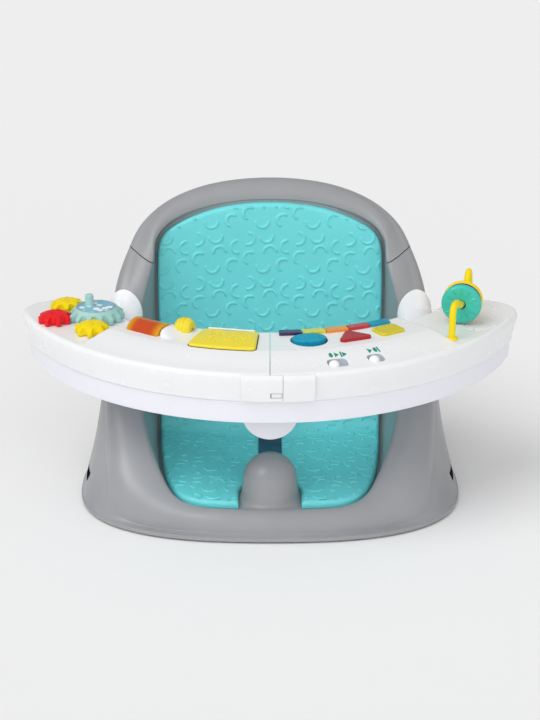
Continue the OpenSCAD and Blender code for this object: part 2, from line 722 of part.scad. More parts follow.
module harness_buckle() {
    foot = bed(back_foot);
    color("#3a3b3d")
        translate([0, foot[0] - strap_lift - 1.6, waist_slot_h]) rotate([90 - back_lean, 0, 0])
            difference() {
                translate([-buckle_w / 2, -buckle_len / 2, -webbing_t])
                    linear_extrude(buckle_t) rounded_box(buckle_w, buckle_len, corner_r);
                translate([-webbing_w / 2 - slot_gap, -buckle_len / 2 - 1, -webbing_t - 1])
                    cube([webbing_w + 2 * slot_gap, 11, webbing_t * 3 + 1]);
                for (s = [-1, 1])
                    translate([s * (buckle_w / 2 - 2) - 4, -webbing_w / 2 - slot_gap, 1.2])
                        cube([8, webbing_w + 2 * slot_gap, webbing_t * 3.2]);
            }
}
module rounded_box(width, depth, r) {
    hull() for (x = [r, width - r]) for (y = [r, depth - r])
        translate([x, y]) circle(r = r, $fn = 32);
}

// ---------- Snack tray ----------
module snack_tray() {
    r = rim_r - snack_inset;
    color("#ececf2") difference() {
        intersection() {
            translate([0, 0, snack_bottom]) linear_extrude(snack_top - snack_bottom)
                tray_outline(snack_inset, [lobe_inner_x, arm_notch_y]);
            revolve([[0, snack_bottom], [r - snack_taper, snack_bottom], [r, snack_top],
                     [0, snack_top]]);
        }
        intersection() {
            translate([0, 0, snack_bottom + tray_wall]) linear_extrude(snack_top)
                tray_outline(snack_inset + tray_wall,
                             [lobe_inner_x + tray_wall, arm_notch_y - tray_wall]);
            revolve([[0, snack_bottom], [r - tray_wall - snack_taper, snack_bottom],
                     [r - tray_wall, snack_top], [r - tray_wall, far], [0, far]]);
        }
    }
}
module tray_tongue() {
    middle = snack_bottom - tongue_drop + tongue_r;
    color("#dcdde2") intersection() {
        translate([0, tongue_y, middle]) rotate([90, 0, 0])
            cylinder(r = tongue_r, h = tongue_t);
        translate([-far, -far, 0]) cube([2 * far, 2 * far, snack_bottom]);
    }
}

// ---------- Hooks that wrap the arms: the rim's own section, pushed out by a gap ----------
// One point round the rim at station u. k runs from -3 on the outer side to 3 on the inner one.
function rim_point(u, k, out) =
    let (t = crest(u), n = smooth(INNER, u), o = smooth(OUTER, u), b = base_point(o[0]),
         d = unit(b - [t[0], t[1]]), run = unit(crest(u + 0.2) - crest(u - 0.2)),
         up = unit([0, 0, 1] - run * run[2]), a = 90 - 30 * abs(k), m = unit([n[0], n[1]]))
    k < 0
        ? [t[0] + d[0] * o[1] * cos(a), t[1] + d[1] * o[1] * cos(a), t[2] - o[2] * (1 - sin(a))]
          + out * ([d[0], d[1], 0] * cos(a) + up * sin(a))
        : [t[0] + n[0] * cos(a), t[1] + n[1] * cos(a), t[2] + n[2] * (1 - sin(a))]
          + out * ([m[0], m[1], 0] * cos(a) + up * sin(a));
// The station, counted on from u, at which the rim's crest reaches a height.
function station_at(z, u) =
    let (low = crest(u)[2], high = crest(u + 0.25)[2])
    high >= z ? u + 0.25 * (z - low) / (high - low) : station_at(z, u + 0.25);
hook_start = station_at(snack_top + hook_lift, 5);
// Stations of the hook past its start, and the share of the rim's width that it spans there.
HOOK_WAY = [for (h = [[0, 1], [0.25, 1], [0.5, 1], [0.7, 0.95], [0.85, 0.8], [0.95, 0.5]])
    [hook_start + h[0], h[1]]];
hook_steps = 6;
module arm_hook() {
    ring = 2 * (hook_steps + 1);
    last = len(HOOK_WAY) - 1;
    points = [for (w = HOOK_WAY) each concat(
        [for (i = [0:hook_steps])
            rim_point(w[0], w[1] * (6 * i / hook_steps - 3), hook_gap)],
        [for (i = [hook_steps:-1:0])
            rim_point(w[0], w[1] * (6 * i / hook_steps - 3), hook_gap + hook_t)])];
    function cap(a) = [for (i = [0:hook_steps - 1]) each [
        [a + i, a + i + 1, a + ring - 2 - i], [a + i, a + ring - 2 - i, a + ring - 1 - i]]];
    faces = concat(
        cap(0), turned(cap(last * ring)),
        [for (k = [0:last - 1]) for (i = [0:ring - 1])
            let (j = (i + 1) % ring, a = k * ring + i, b = k * ring + j)
            each [[a, a + ring, b + ring], [a, b + ring, b]]]);
    foot = rim_point(HOOK_WAY[0][0], -3, hook_gap);
    color("#eeeff0") {
        polyhedron(points = points, faces = faces);
        translate([foot[0] + 0.4, foot[1] + 0.5, snack_top - hook_foot_len])
            cube([lobe_inner_x - snack_inset - foot[0] - 0.4, hook_foot_len, hook_foot_len - 1]);
    }
}
module arm_hook_left() {
    mirror([1, 0, 0]) arm_hook();
}
module arm_hook_right() {
    arm_hook();
}

// ---------- Toy decks ----------
toy_cy = 120;
ceiling = platform_h - tray_wall;
module at_toy(dist, angle) {
    translate([0, toy_cy, 0]) rotate([0, 0, angle]) translate([0, -dist, 0]) children();
}
module at_rim(dist, angle) {
    translate([0, rim_cy, 0]) rotate([0, 0, angle]) translate([0, -dist, 0]) children();
}
// A ring sector about x = 0: its centre, radii, angles from the front and heights.
module sector(cy, near, away, from, to, low, high) {
    translate([0, cy, low]) rotate([0, 0, from - 90])
        rotate_extrude(angle = to - from) translate([near, 0]) square([away - near, high - low]);
}
module deck_solid(inset, drop) {
    r = rim_r - inset;
    low = inset > 0 ? snack_top - 1 : snack_top;
    edge = r - ridge_w;
    intersection() {
        translate([0, 0, low]) linear_extrude(far)
            tray_outline(inset, []);
        union() {
            revolve([[0, low], [r - deck_taper, low], [r, ridge_h - 6 - drop],
                     [r - 1, ridge_h - 2 - drop], [edge, ridge_h - drop],
                     [0, ridge_h - drop]]);
            translate([0, rim_cy, 0]) rotate([0, 0, -90 - platform_angle + inset / 4])
                rotate_extrude(angle = 2 * platform_angle - inset / 2)
                    polygon([[1, ridge_h - drop - 8], [edge - 8, ridge_h - drop - 8],
                             [edge - 0.6 + 0.1 / slope_rise, ridge_h - drop - 0.1],
                             [edge - 0.6, ridge_h - drop],
                             [edge - 0.6 - slope_w, platform_h - drop], [1, platform_h - drop]]);
        }
    }
}
// The space that the leaning arms take up under the decks' top.
module arm_space() {
    lean = atan2(crest(9)[1] - crest(8)[1], crest(9)[2] - crest(8)[2]);
    x = crest_w / 2 + OUTER[9][1] + hook_gap + hook_t + arm_gap + 1;
    intersection() {
        translate([0, crest(8)[1] - arm_gap - hook_t, crest(8)[2]]) rotate([-lean, 0, 0])
            translate([-x, 0, -far]) cube([2 * x, far, 2 * far]);
        translate([-x, -far, 0]) cube([2 * x, 2 * far, ridge_h - tray_wall]);
    }
}
// Screw places under each deck: distance and angle about the toys' centre.
DECK_SCREWS = [[244, 4], [243, 41], [214, 47.5], [243, 68]];
module deck_screw_places(side) {
    for (p = DECK_SCREWS) at_toy(p[0], side * p[1]) children();
}
module in_half(side) {
    intersection() {
        children();
        translate([side > 0 ? deck_gap / 2 : -far - deck_gap / 2, -far, 0])
            cube([far, 2 * far, far]);
    }
}
cover_top = snack_top + clasp_gap + cover_t;
module deck_half(side) {
    in_half(side) difference() {
        union() {
            difference() {
                deck_solid(0, 0);
                deck_solid(tray_wall, tray_wall);
                arm_space();
            }
            intersection() {
                deck_screw_places(side) translate([0, 0, cover_top])
                    cylinder(r = boss_r, h = far, $fn = 48);
                deck_solid(tray_wall / 2, tray_wall / 2);
            }
        }
        deck_screw_places(side) cylinder(r = bore_r, h = cover_top + screw_len - cover_t, $fn = 32);
    }
}
module cover(side) {
    in_half(side) difference() {
        intersection() {
            translate([0, 0, cover_top - cover_t]) linear_extrude(cover_t)
                tray_outline(tray_wall + cover_gap, []);
            revolve([[0, snack_top], [rim_r - deck_taper - tray_wall - cover_gap, snack_top],
                     [rim_r - deck_taper - tray_wall - cover_gap, far], [0, far]]);
        }
        arm_space();
        deck_screw_places(side) cylinder(r = bore_r, h = far, $fn = 32);
    }
}
module deck_screws(side) {
    color("silver") deck_screw_places(side)
        screw(cover_top - cover_t - screw_head_h);
}

// ---------- Left deck: gears, roller, spinner and flap ----------
tip_r = gear_distance / (drive_teeth + small_teeth) * drive_teeth;
SMALL_GEARS = [[-91, "#f2d23c"], [195, "#d8252c"], [140, "#f2d23c"]];
function small_place(i) =
    [-gear_x + gear_distance * cos(SMALL_GEARS[i][0]),
     gear_y + gear_distance * sin(SMALL_GEARS[i][0])];
roller_z = platform_h - roller_sink;
spinner_z = platform_h + 2;
flap_mid = (flap_from + flap_to) / 2;
knuckle_len = 40;
flap_z = platform_h + 0.4;
knuckle_z = flap_z + knuckle_r;
pin_hole_r = flap_pin_d / 2 + turn_gap;
hinge_dist = flap_near * cos((flap_to - flap_from) / 2) - 1;

module roller_space(r, length) {
    translate([-length / 2, 0, roller_z]) rotate([0, 90, 0]) cylinder(r = r, h = length);
}
module spinner_space(r, width) {
    translate([-width / 2, 0, spinner_z]) rotate([0, 90, 0]) cylinder(r = r, h = width);
}
module toy_deck_left() {
    color("#eeeff0") difference() {
        union() {
            deck_half(-1);
            for (p = concat([[-gear_x, gear_y]], [for (i = [0:2]) small_place(i)]))
                translate([p[0], p[1], ridge_h - 1])
                    cylinder(d = post_d, h = gear_float + gear_t);
            at_toy(roller_dist, roller_angle) for (s = [-1, 1])
                translate([s * (roller_len / 2 + window_gap + 2) - 2, -5, roller_z - 6])
                    cube([4, 10, ceiling + 1 - roller_z + 6]);
            at_toy(hinge_dist, flap_mid) for (s = [-1, 1])
                translate([s * (knuckle_len / 2 + 2) - 1.5, -knuckle_r, platform_h - 1])
                    cube([3, 2 * knuckle_r, knuckle_z + knuckle_r - platform_h + 1]);
        }
        at_toy(roller_dist, roller_angle) {
            intersection() {
                roller_space(roller_r + window_gap, roller_len + 2 * window_gap);
                translate([-far, -far, ceiling - 1]) cube(2 * far);
            }
            roller_space(axle_d / 2 + turn_gap, roller_len + 20);
        }
        at_toy(spinner_dist, spinner_angle)
            intersection() {
                spinner_space(spinner_r + window_gap, spinner_t + 2 * window_gap);
                translate([-far, -far, ceiling - 1]) cube(2 * far);
            }
        at_toy(hinge_dist, flap_mid) translate([-knuckle_len, 0, knuckle_z])
            rotate([0, 90, 0]) cylinder(r = pin_hole_r, h = 2 * knuckle_len, $fn = 32);
    }
}
// A gear's outline: flat-topped teeth round its pitch circle, at a pitch of one tooth.
module gear_outline(teeth) {
    pitch = gear_distance / (drive_teeth + small_teeth) * teeth;
    step = 360 / teeth;
    half = tooth_fill * step / 2;
    polygon([for (i = [0:teeth - 1]) each let (a = i * step) [
        (pitch - tooth_in) * [cos(a - step / 2 + half * 0.55), sin(a - step / 2 + half * 0.55)],
        (pitch - tooth_in) * [cos(a - half * 1.3), sin(a - half * 1.3)],
        (pitch + tooth_out) * [cos(a - half * 0.62), sin(a - half * 0.62)],
        (pitch + tooth_out) * [cos(a + half * 0.62), sin(a + half * 0.62)],
        (pitch - tooth_in) * [cos(a + half * 1.3), sin(a + half * 1.3)]]]);
}
gear_z = ridge_h + gear_float;
// A low dome that starts a little inside what it stands on.
module dome(r, rise) {
    rotate_extrude() polygon(concat([[0, -0.3], [r, -0.3]],
        [for (k = [0:6]) [r * cos(15 * k), rise * sin(15 * k)]]));
}
module gear_bore() {
    translate([0, 0, gear_z - 1]) cylinder(r = post_d / 2 + turn_gap, h = gear_t + 0.5);
}
module drive_gear() {
    color("#8fc1bc") translate([-gear_x, gear_y, 0]) difference() {
        union() {
            translate([0, 0, gear_z]) linear_extrude(gear_t) gear_outline(drive_teeth);
            translate([0, 0, gear_z + gear_t])
                cylinder(r1 = disc_r + 3, r2 = disc_r + 1, h = cone_h);
        }
        gear_bore();
        translate([0, 0, gear_z + gear_t + cone_h - disc_t])
            cylinder(r = disc_r + turn_gap, h = far);
    }
}
peg_place = [-gear_x - peg_out * 0.8, gear_y + peg_out * 0.6];
module gear_disc() {
    color("#b7d9d5") difference() {
        translate([-gear_x, gear_y, gear_z + gear_t + cone_h - disc_t])
            cylinder(r = disc_r, h = disc_t);
        translate([peg_place[0], peg_place[1], 0])
            cylinder(d = peg_d + 2 * turn_gap, h = far);
    }
}
module crank_peg() {
    color("#8fc1bc") translate([peg_place[0], peg_place[1], gear_z + gear_t + cone_h - disc_t]) {
        cylinder(d = peg_d, h = peg_h);
        translate([0, 0, peg_h]) dome(peg_d / 2, peg_d / 5);
    }
}
// Each small gear is turned so that its gaps take the drive gear's teeth.
module small_gear(i) {
    towards = SMALL_GEARS[i][0];
    turns = towards * drive_teeth / 360;
    phase = 0.5 + turns - floor(turns);
    p = small_place(i);
    color(SMALL_GEARS[i][1]) translate([p[0], p[1], 0]) difference() {
        union() {
            translate([0, 0, gear_z])
                rotate([0, 0, towards + 180 + phase * 360 / small_teeth])
                    linear_extrude(gear_t) gear_outline(small_teeth);
            translate([0, 0, gear_z + gear_t]) dome(dome_r, dome_h);
        }
        gear_bore();
    }
}
module small_gear_front() {
    small_gear(0);
}
module small_gear_side() {
    small_gear(1);
}
module small_gear_rear() {
    small_gear(2);
}
module roller_drum() {
    color("#d9a51f") at_toy(roller_dist, roller_angle) difference() {
        roller_space(roller_r, roller_len);
        roller_space(roller_r - 2, roller_len - 4);
        roller_space(axle_d / 2 + turn_gap, far);
    }
}
module roller_core() {
    color("#c8562a") at_toy(roller_dist, roller_angle) difference() {
        roller_space(roller_r - 5, roller_len - 4);
        roller_space(axle_d / 2 + turn_gap, far);
    }
}
module roller_axle() {
    color("silver") at_toy(roller_dist, roller_angle)
        roller_space(axle_d / 2, roller_len + 2 * window_gap + 8);
}
// The rounded cheek beside the roller, between it and the spinner.
module roller_cheek() {
    color("#eeeff0") difference() {
        at_toy(roller_dist, roller_angle)
            translate([roller_len / 2 + window_gap + 0.6, 0, roller_z]) rotate([0, 90, 0])
                cylinder(r = roller_r - 1, h = 11);
        translate([-far, -far, -far]) cube([2 * far, 2 * far, far + platform_h]);
        at_toy(spinner_dist, spinner_angle) translate([0, 0, spinner_z])
            sphere(r = spinner_r + window_gap);
    }
}
module spinner() {
    color("#f2d23c") at_toy(spinner_dist, spinner_angle) difference() {
        intersection() {
            translate([0, 0, spinner_z]) sphere(r = spinner_r);
            spinner_space(spinner_r, spinner_t);
        }
        spinner_space(axle_d / 4 + turn_gap, far);
        translate([0, 0, spinner_z]) rotate([0, 90, 0]) rotate_extrude()
            translate([spinner_r + 0.4, 0]) circle(r = 1.6, $fn = 24);
    }
}
module spinner_axle() {
    color("silver") at_toy(spinner_dist, spinner_angle)
        spinner_space(axle_d / 4, spinner_t + 2 * window_gap + 5);
}
module flap() {
    color("#efdd55") {
        difference() {
            union() {
                sector(toy_cy, flap_near + knuckle_r, flap_near + flap_len, flap_from, flap_to,
                       flap_z, flap_z + flap_t);
                at_toy(hinge_dist, flap_mid) translate([-knuckle_len / 2, 0, knuckle_z])
                    rotate([0, 90, 0]) cylinder(r = knuckle_r, h = knuckle_len, $fn = 48);
                at_toy(hinge_dist, flap_mid)
                    translate([-knuckle_len / 2, -7, flap_z]) cube([knuckle_len, 7, flap_t]);
            }
            at_toy(hinge_dist, flap_mid) translate([-knuckle_len, 0, knuckle_z])
                rotate([0, 90, 0]) cylinder(r = pin_hole_r, h = 2 * knuckle_len, $fn = 32);
        }
    }
}
module flap_pin() {
    color("silver") at_toy(hinge_dist, flap_mid)
        translate([-knuckle_len / 2 - 3.5, 0, knuckle_z]) rotate([0, 90, 0])
            cylinder(d = flap_pin_d, h = knuckle_len + 7, $fn = 32);
}

// ---------- Right deck: keys, buttons, switches and the bead wire ----------
KEY_COLOURS = ["#4a2e5a", "#e8dc4a", "#f29a33", "#c8333a", "#1ba3c6"];
key_near = belly_r + key_edge;
key_base = platform_h - 0.8;
flange_z = ceiling - 2;
// How far the flange under the deck's top stands out from a key or a button.
button_flange = 2 * key_gap;
pad_top = flange_z - key_travel - 0.6;
BUTTONS = [[203, 10.9, "#0f8fae"], [207, 23, "#c8242c"], [210, 34, "#ecd92f"]];
module button_outline(i, grow) {
    if (i == 0) scale([oval_len / 2 + grow, oval_w / 2 + grow]) circle(r = 1);
    if (i == 1) hull() for (p = [[0, 1], [1, 0], [-1, 0]])
        translate([p[0] * (triangle_w / 2 - corner_r), (p[1] - 0.5) * (triangle_d - 2 * corner_r)])
            circle(r = corner_r + grow, $fn = 32);
    if (i == 2) hull() for (x = [-1, 1]) for (y = [-1, 1])
        translate([x * (oblong_len / 2 - corner_r), y * (oblong_w / 2 - corner_r)])
            circle(r = corner_r + grow, $fn = 32);
}
module at_button(i) {
    at_toy(BUTTONS[i][0], BUTTONS[i][1]) children();
}
module button(i) {
    color(BUTTONS[i][2]) at_button(i) {
        translate([0, 0, flange_z]) linear_extrude(platform_h + key_out - flange_z)
            button_outline(i, 0);
        translate([0, 0, flange_z]) linear_extrude(1.8) button_outline(i, button_flange);
    }
}
module round_button() {
    button(0);
}
module triangle_button() {
    button(1);
}
module oblong_button() {
    button(2);
}
module key(i) {
    from = key_first + key_step * i - key_span / 2;
    to = from + key_span;
    color(KEY_COLOURS[i]) {
        sector(belly_cy, key_near, key_near + key_len, from, to, key_base, platform_h + key_out);
        sector(belly_cy, key_near + 2.6, key_near + key_len - 0.4, from + 0.4, to - 0.4,
               flange_z + 1, key_base + 0.5);
        sector(belly_cy, key_near + 2.4, key_near + key_len + button_flange, from + 0.3, to - 0.3,
               flange_z, flange_z + 1.8);
    }
}
module key_1() {
    key(0);
}
module key_2() {
    key(1);
}
module key_3() {
    key(2);
}
module key_4() {
    key(3);
}
module key_5() {
    key(4);
}
switch_dist = rim_r - switch_in;
slope_rise = (platform_h - ridge_h) / slope_w;
slope_z = ridge_h + (rim_r - ridge_w - switch_dist) * slope_rise;
pocket_z = slope_z - 2;
knob_start = [-4, -2.5];
slot_w = 3.4;
module switch_cut(i) {
    at_rim(switch_dist, switch_angle[i]) {
        translate([-switch_len[i] / 2, -switch_w / 2, pocket_z]) cube([switch_len[i], switch_w, far]);
        translate([-switch_len[i] / 2 + 3, -slot_w / 2, pocket_z - 5])
            cube([switch_len[i] - 6, slot_w, 10]);
    }
}
module switch_knob(i) {
    color("#f4f4f4") at_rim(switch_dist, switch_angle[i]) translate([knob_start[i], 0, 0]) {
        translate([0, 0, pocket_z + 0.2]) cylinder(r = knob_r, h = knob_h - 2);
        translate([0, 0, pocket_z + knob_h - 1.8])
            cylinder(r1 = knob_r, r2 = knob_r - 1.6, h = 1.6);
        translate([0, 0, pocket_z - 4.6]) cylinder(r = slot_w / 2 - 0.3, h = 5);
        translate([0, 0, pocket_z - 4.6]) cylinder(r = 3, h = 1.4);
    }
}
module power_switch() {
    switch_knob(0);
}
module mode_switch() {
    switch_knob(1);
}
// The wire's way, seen from the middle of the right lobe at the height of the ridge.
WIRE_SHAPE = [
    [-44.2, -88.3, -tray_wall], [-44.2, -88.3, 7], [-44.2, -88.3, 19], [-44, -87.7, 28],
    [-42.2, -82.8, 33.5], [-38.7, -72.3, 32.5], [-35, -60.3, 26], [-32, -48.8, 23.2],
    [-27.6, -29.8, 23.2], [-24.9, -19.8, 26.5], [-22.9, -12.3, 34], [-21.2, -5.8, 40.5],
    [-19.8, 0.2, 41.5], [-18.8, 4.7, 37], [-18.4, 6.7, 29], [-18.2, 7.2, 17],
    [-18.2, 7.2, 7], [-18.2, 7.2, -tray_wall]];
WIRE_WAY = [for (p = WIRE_SHAPE) p + [lobe_x, lobe_y, ridge_h]];
wire_sides = 12;
wire_mid = (WIRE_WAY[7] + WIRE_WAY[8]) / 2;
module bead_wire() {
    last = len(WIRE_WAY) - 1;
    points = [for (k = [0:last]) each
        let (run = unit(WIRE_WAY[min(k + 1, last)] - WIRE_WAY[max(k - 1, 0)]),
             side = unit(cross(run, [1, -0.2, 0])), up = cross(side, run))
        [for (i = [0:wire_sides - 1])
            let (a = i * 360 / wire_sides)
            WIRE_WAY[k] + wire_d / 2 * (side * cos(a) + up * sin(a))]];
    color("#f2d23c") {
        polyhedron(points = points, faces = turned(concat(
            [[for (i = [0:wire_sides - 1]) i]],
            [for (k = [0:last - 1]) for (i = [0:wire_sides - 1])
                let (j = (i + 1) % wire_sides, a = k * wire_sides + i, b = k * wire_sides + j)
                each [[a, a + wire_sides, b + wire_sides], [a, b + wire_sides, b]]],
            [[for (i = [wire_sides - 1:-1:0]) last * wire_sides + i]])));
        for (p = [WIRE_WAY[0], WIRE_WAY[last]])
            translate([p[0], p[1], ridge_h]) cylinder(r = wire_foot_r, h = 2);
    }
}
module wire_holes() {
    for (p = [WIRE_WAY[0], WIRE_WAY[len(WIRE_WAY) - 1]])
        translate([p[0], p[1], 0]) cylinder(r = wire_d / 2 + screw_gap, h = far);
}
bead_turn = atan2(WIRE_WAY[8][0] - WIRE_WAY[7][0], WIRE_WAY[8][1] - WIRE_WAY[7][1]);
module bead(r, start, thick) {
    translate(wire_mid - [0, 0, bead_hole_r - wire_d / 2 - 0.2]) rotate([0, 0, -bead_turn])
        translate([0, start, 0]) rotate([-90, 0, 0]) rotate_extrude()
            polygon([[bead_hole_r, 0.6], [bead_hole_r + 1, 0], [r - 2, 0], [r, 1.5],
                     [r, thick - 1.5], [r - 2, thick], [bead_hole_r + 1, thick],
                     [bead_hole_r, thick - 0.6]]);
}
plain_bead_t = 3.4;
beads_start = -(2 * bead_t + plain_bead_t + 2 * bead_gap) / 2;
module front_bead() {
    color("#4fc3b5") bead(bead_r, beads_start, bead_t);
}
module middle_bead() {
    color("#5b4a8c") bead(bead_r - 3.5, beads_start + bead_t + bead_gap, plain_bead_t);
}
module rear_bead() {
    color("#f2d23c") bead(bead_r - 1, beads_start + bead_t + plain_bead_t + 2 * bead_gap, bead_t);
}
module toy_deck_right() {
    color("#eeeff0") difference() {
        deck_half(1);
        sector(belly_cy, key_near - key_gap, key_near + key_len + key_gap,
               key_first - key_span / 2 - 0.15, key_first + 4 * key_step + key_span / 2 + 0.15,
               ceiling - 0.2, far);
        for (i = [0:2]) at_button(i) translate([0, 0, ceiling - 1])
            linear_extrude(far) button_outline(i, key_gap);
        for (i = [0, 1]) switch_cut(i);
        intersection() {
            wire_holes();
            translate([0, -far, ridge_h - tray_wall - 1]) cube(2 * far);
        }
    }
}

// ---------- Inside the right deck: keypad, board, speaker and batteries ----------
board_t = 1.6;
board_z = pad_top - 2.4 - board_t;
module keypad() {
    color("#c9c9c4") {
        sector(belly_cy, key_near + 5, key_near + 36, 3, 34, board_z + board_t, pad_top - 1.4);
        sector(belly_cy, key_near + 5, key_near + 9, 3, 34, pad_top - 1.5, pad_top);
        for (i = [0:2]) at_button(i) translate([0, 0, pad_top - 1.5]) cylinder(r = 7, h = 1.5);
    }
}
POST_PLACES = [[192, 5], [222, 20], [197, 40]];
module circuit_board() {
    color("#2f7d4f") sector(belly_cy, key_near + 4.5, key_near + 38, 2.6, 34.4, board_z,
                            board_z + board_t);
}
cell_d = 14.5;
cell_len = 50.5;
// The batteries' place: behind the front edge, and round its centre.
battery_dist = rim_r - 48;
battery_angle = 24;
module battery_row() {
    for (k = [-1:1])
        translate([-cell_len / 2, k * (cell_d + 0.5), cover_top + cell_d / 2 + 0.3])
            rotate([0, 90, 0]) children();
}
module batteries() {
    color("#c9a23a") at_rim(battery_dist, battery_angle) battery_row() {
        cylinder(d = cell_d, h = cell_len - 1.3);
        translate([0, 0, cell_len - 1.4]) cylinder(d = 5.4, h = 1.4, $fn = 32);
    }
}
door_len = cell_len + 4;
door_w = 3 * cell_d + 4;
module battery_door() {
    color("#dcdde2") at_rim(battery_dist, battery_angle)
        translate([-door_len / 2 + cover_gap, -door_w / 2 + cover_gap, cover_top - cover_t])
            cube([door_len - 2 * cover_gap, door_w - 2 * cover_gap, cover_t]);
}
speaker_r = 14;
module at_speaker() {
    at_toy(226, 9) children();
}
module speaker() {
    color("#3a3b3d") at_speaker() translate([0, 0, cover_top]) {
        difference() {
            cylinder(r = speaker_r, h = 3);
            translate([0, 0, -1]) cylinder(r = speaker_r - 2, h = 3);
        }
        translate([0, 0, 3]) cylinder(r = speaker_r * 0.6, h = 5);
    }
}
module deck_cover_left() {
    color("#dcdde2") cover(-1);
}
module deck_cover_right() {
    color("#dcdde2") difference() {
        union() {
            cover(1);
            for (p = POST_PLACES) at_toy(p[0], p[1]) translate([0, 0, cover_top - 0.5])
                cylinder(r = 2.5, h = board_z - cover_top + 0.5, $fn = 32);
            at_rim(battery_dist, battery_angle) difference() {
                translate([-door_len / 2 - 2, -door_w / 2 - 2, cover_top - 0.5])
                    cube([door_len + 4, door_w + 4, 8]);
                translate([-door_len / 2, -door_w / 2, 0]) cube([door_len, door_w, far]);
            }
        }
        at_rim(battery_dist, battery_angle)
            translate([-door_len / 2, -door_w / 2, 0]) cube([door_len, door_w, far]);
        at_speaker() for (k = [0:5]) rotate([0, 0, 60 * k]) translate([6, 0, 0])
            cylinder(r = 1.5, h = cover_top + 1, $fn = 24);
    }
}
module deck_screws_left() {
    deck_screws(-1);
}
module deck_screws_right() {
    deck_screws(1);
}

// ---------- Clasp over the joint between the decks ----------
// Radius of the decks' wall at a height, with the clasp's fit on it.
function wall_r(z) = rim_r + screw_gap - deck_taper * (ridge_h - 6 - z) / (ridge_h - 6 - snack_top);
clasp_top = ridge_h - 0.5;
clasp_low = snack_top + 1;
function rim_angle(x) = asin(x / rim_r);
module clasp_piece(from, to, out) {
    foot = wall_r(clasp_low);
    top = wall_r(ridge_h - 6);
    translate([0, rim_cy, 0]) rotate([0, 0, rim_angle(from) - 90])
        rotate_extrude(angle = rim_angle(to) - rim_angle(from))
            polygon([[foot, clasp_low], [foot + out, clasp_low], [top + out, ridge_h - 7],
                     [top + out - 2, clasp_top], [top, clasp_top], [top, ridge_h - 6]]);
}
// The air that the left half's end keeps from the other deck's wall.
module clasp_air() {
    foot = wall_r(clasp_low - 1) + clasp_gap;
    top = wall_r(ridge_h - 6) + clasp_gap;
    translate([0, rim_cy, 0]) rotate([0, 0, rim_angle(-deck_gap) - 90])
        rotate_extrude(angle = rim_angle(clasp_split + deck_gap) - rim_angle(-deck_gap))
            polygon([[foot - 2, clasp_low - 1], [foot, clasp_low - 1], [top, ridge_h - 6],
                     [top, ridge_h + 1], [foot - 2, ridge_h + 1]]);
}
module front_clasp_left() {
    color("#f4f4f5") difference() {
        clasp_piece(-clasp_left, clasp_split, clasp_out);
        clasp_air();
    }
}
module front_clasp_right() {
    color("#f4f4f5") clasp_piece(clasp_split + clasp_gap, clasp_right, clasp_out + clasp_step);
}

seat_shell();
backrest_arch();
base_plate();
rubber_feet();
base_screws();
seat_liner();
crotch_strap();
waist_strap_left();
waist_strap_right();
harness_buckle();
snack_tray();
tray_tongue();
arm_hook_left();
arm_hook_right();
toy_deck_left();
deck_cover_left();
deck_screws_left();
front_clasp_left();
drive_gear();
gear_disc();
crank_peg();
small_gear_front();
small_gear_side();
small_gear_rear();
roller_drum();
roller_core();
roller_axle();
roller_cheek();
spinner();
spinner_axle();
flap();
flap_pin();
toy_deck_right();
deck_cover_right();
deck_screws_right();
front_clasp_right();
key_1();
key_2();
key_3();
key_4();
key_5();
round_button();
triangle_button();
oblong_button();
power_switch();
mode_switch();
bead_wire();
front_bead();
middle_bead();
rear_bead();
keypad();
circuit_board();
speaker();
batteries();
battery_door();
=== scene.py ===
"""Looks of a baby floor seat with a two-level toy tray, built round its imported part.

Sizes in the classes are millimetres, as on a maker's drawing, and meshes are written in metres.
+X is to the right as seen from the front, the front faces -Y and +Z is up.
"""

import json
import logging
import math
from contextlib import contextmanager
from dataclasses import dataclass
from enum import Enum
from itertools import product
from math import cos, hypot, pi, radians, sin, sqrt
from typing import Callable, Iterator, Sequence

import bmesh
import bpy
import numpy as np
from bmesh.types import BMEdge, BMesh, BMFace, BMVert
from bpy.types import Light, Material, Mesh, Node, NodeSocket, NodeTree, Object
from mathutils.bvhtree import BVHTree
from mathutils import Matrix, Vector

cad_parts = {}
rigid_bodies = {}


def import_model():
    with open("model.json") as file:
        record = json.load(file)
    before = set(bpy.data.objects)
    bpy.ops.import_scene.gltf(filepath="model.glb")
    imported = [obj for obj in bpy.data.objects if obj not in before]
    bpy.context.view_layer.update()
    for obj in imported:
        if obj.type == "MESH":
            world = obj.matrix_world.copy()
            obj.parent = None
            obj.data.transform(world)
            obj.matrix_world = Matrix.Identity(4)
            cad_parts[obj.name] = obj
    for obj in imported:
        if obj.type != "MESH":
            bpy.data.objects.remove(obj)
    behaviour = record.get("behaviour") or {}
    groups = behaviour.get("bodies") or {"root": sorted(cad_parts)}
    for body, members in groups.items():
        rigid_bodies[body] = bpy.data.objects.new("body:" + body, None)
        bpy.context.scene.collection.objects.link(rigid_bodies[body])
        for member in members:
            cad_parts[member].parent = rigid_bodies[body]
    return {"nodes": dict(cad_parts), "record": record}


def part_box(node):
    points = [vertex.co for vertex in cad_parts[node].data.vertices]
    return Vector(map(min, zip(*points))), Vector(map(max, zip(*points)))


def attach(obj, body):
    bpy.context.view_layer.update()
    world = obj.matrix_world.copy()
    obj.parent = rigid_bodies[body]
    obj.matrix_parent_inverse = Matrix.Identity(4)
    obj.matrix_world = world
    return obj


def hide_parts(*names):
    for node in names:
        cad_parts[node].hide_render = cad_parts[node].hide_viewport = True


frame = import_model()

LOG = logging.getLogger("baby_floor_seat")
MM = 0.001
ROLLER_PLACE = (-119.33, -47.92)
ROLLER_TURN = -35.4
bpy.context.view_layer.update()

# --- colours and finishes


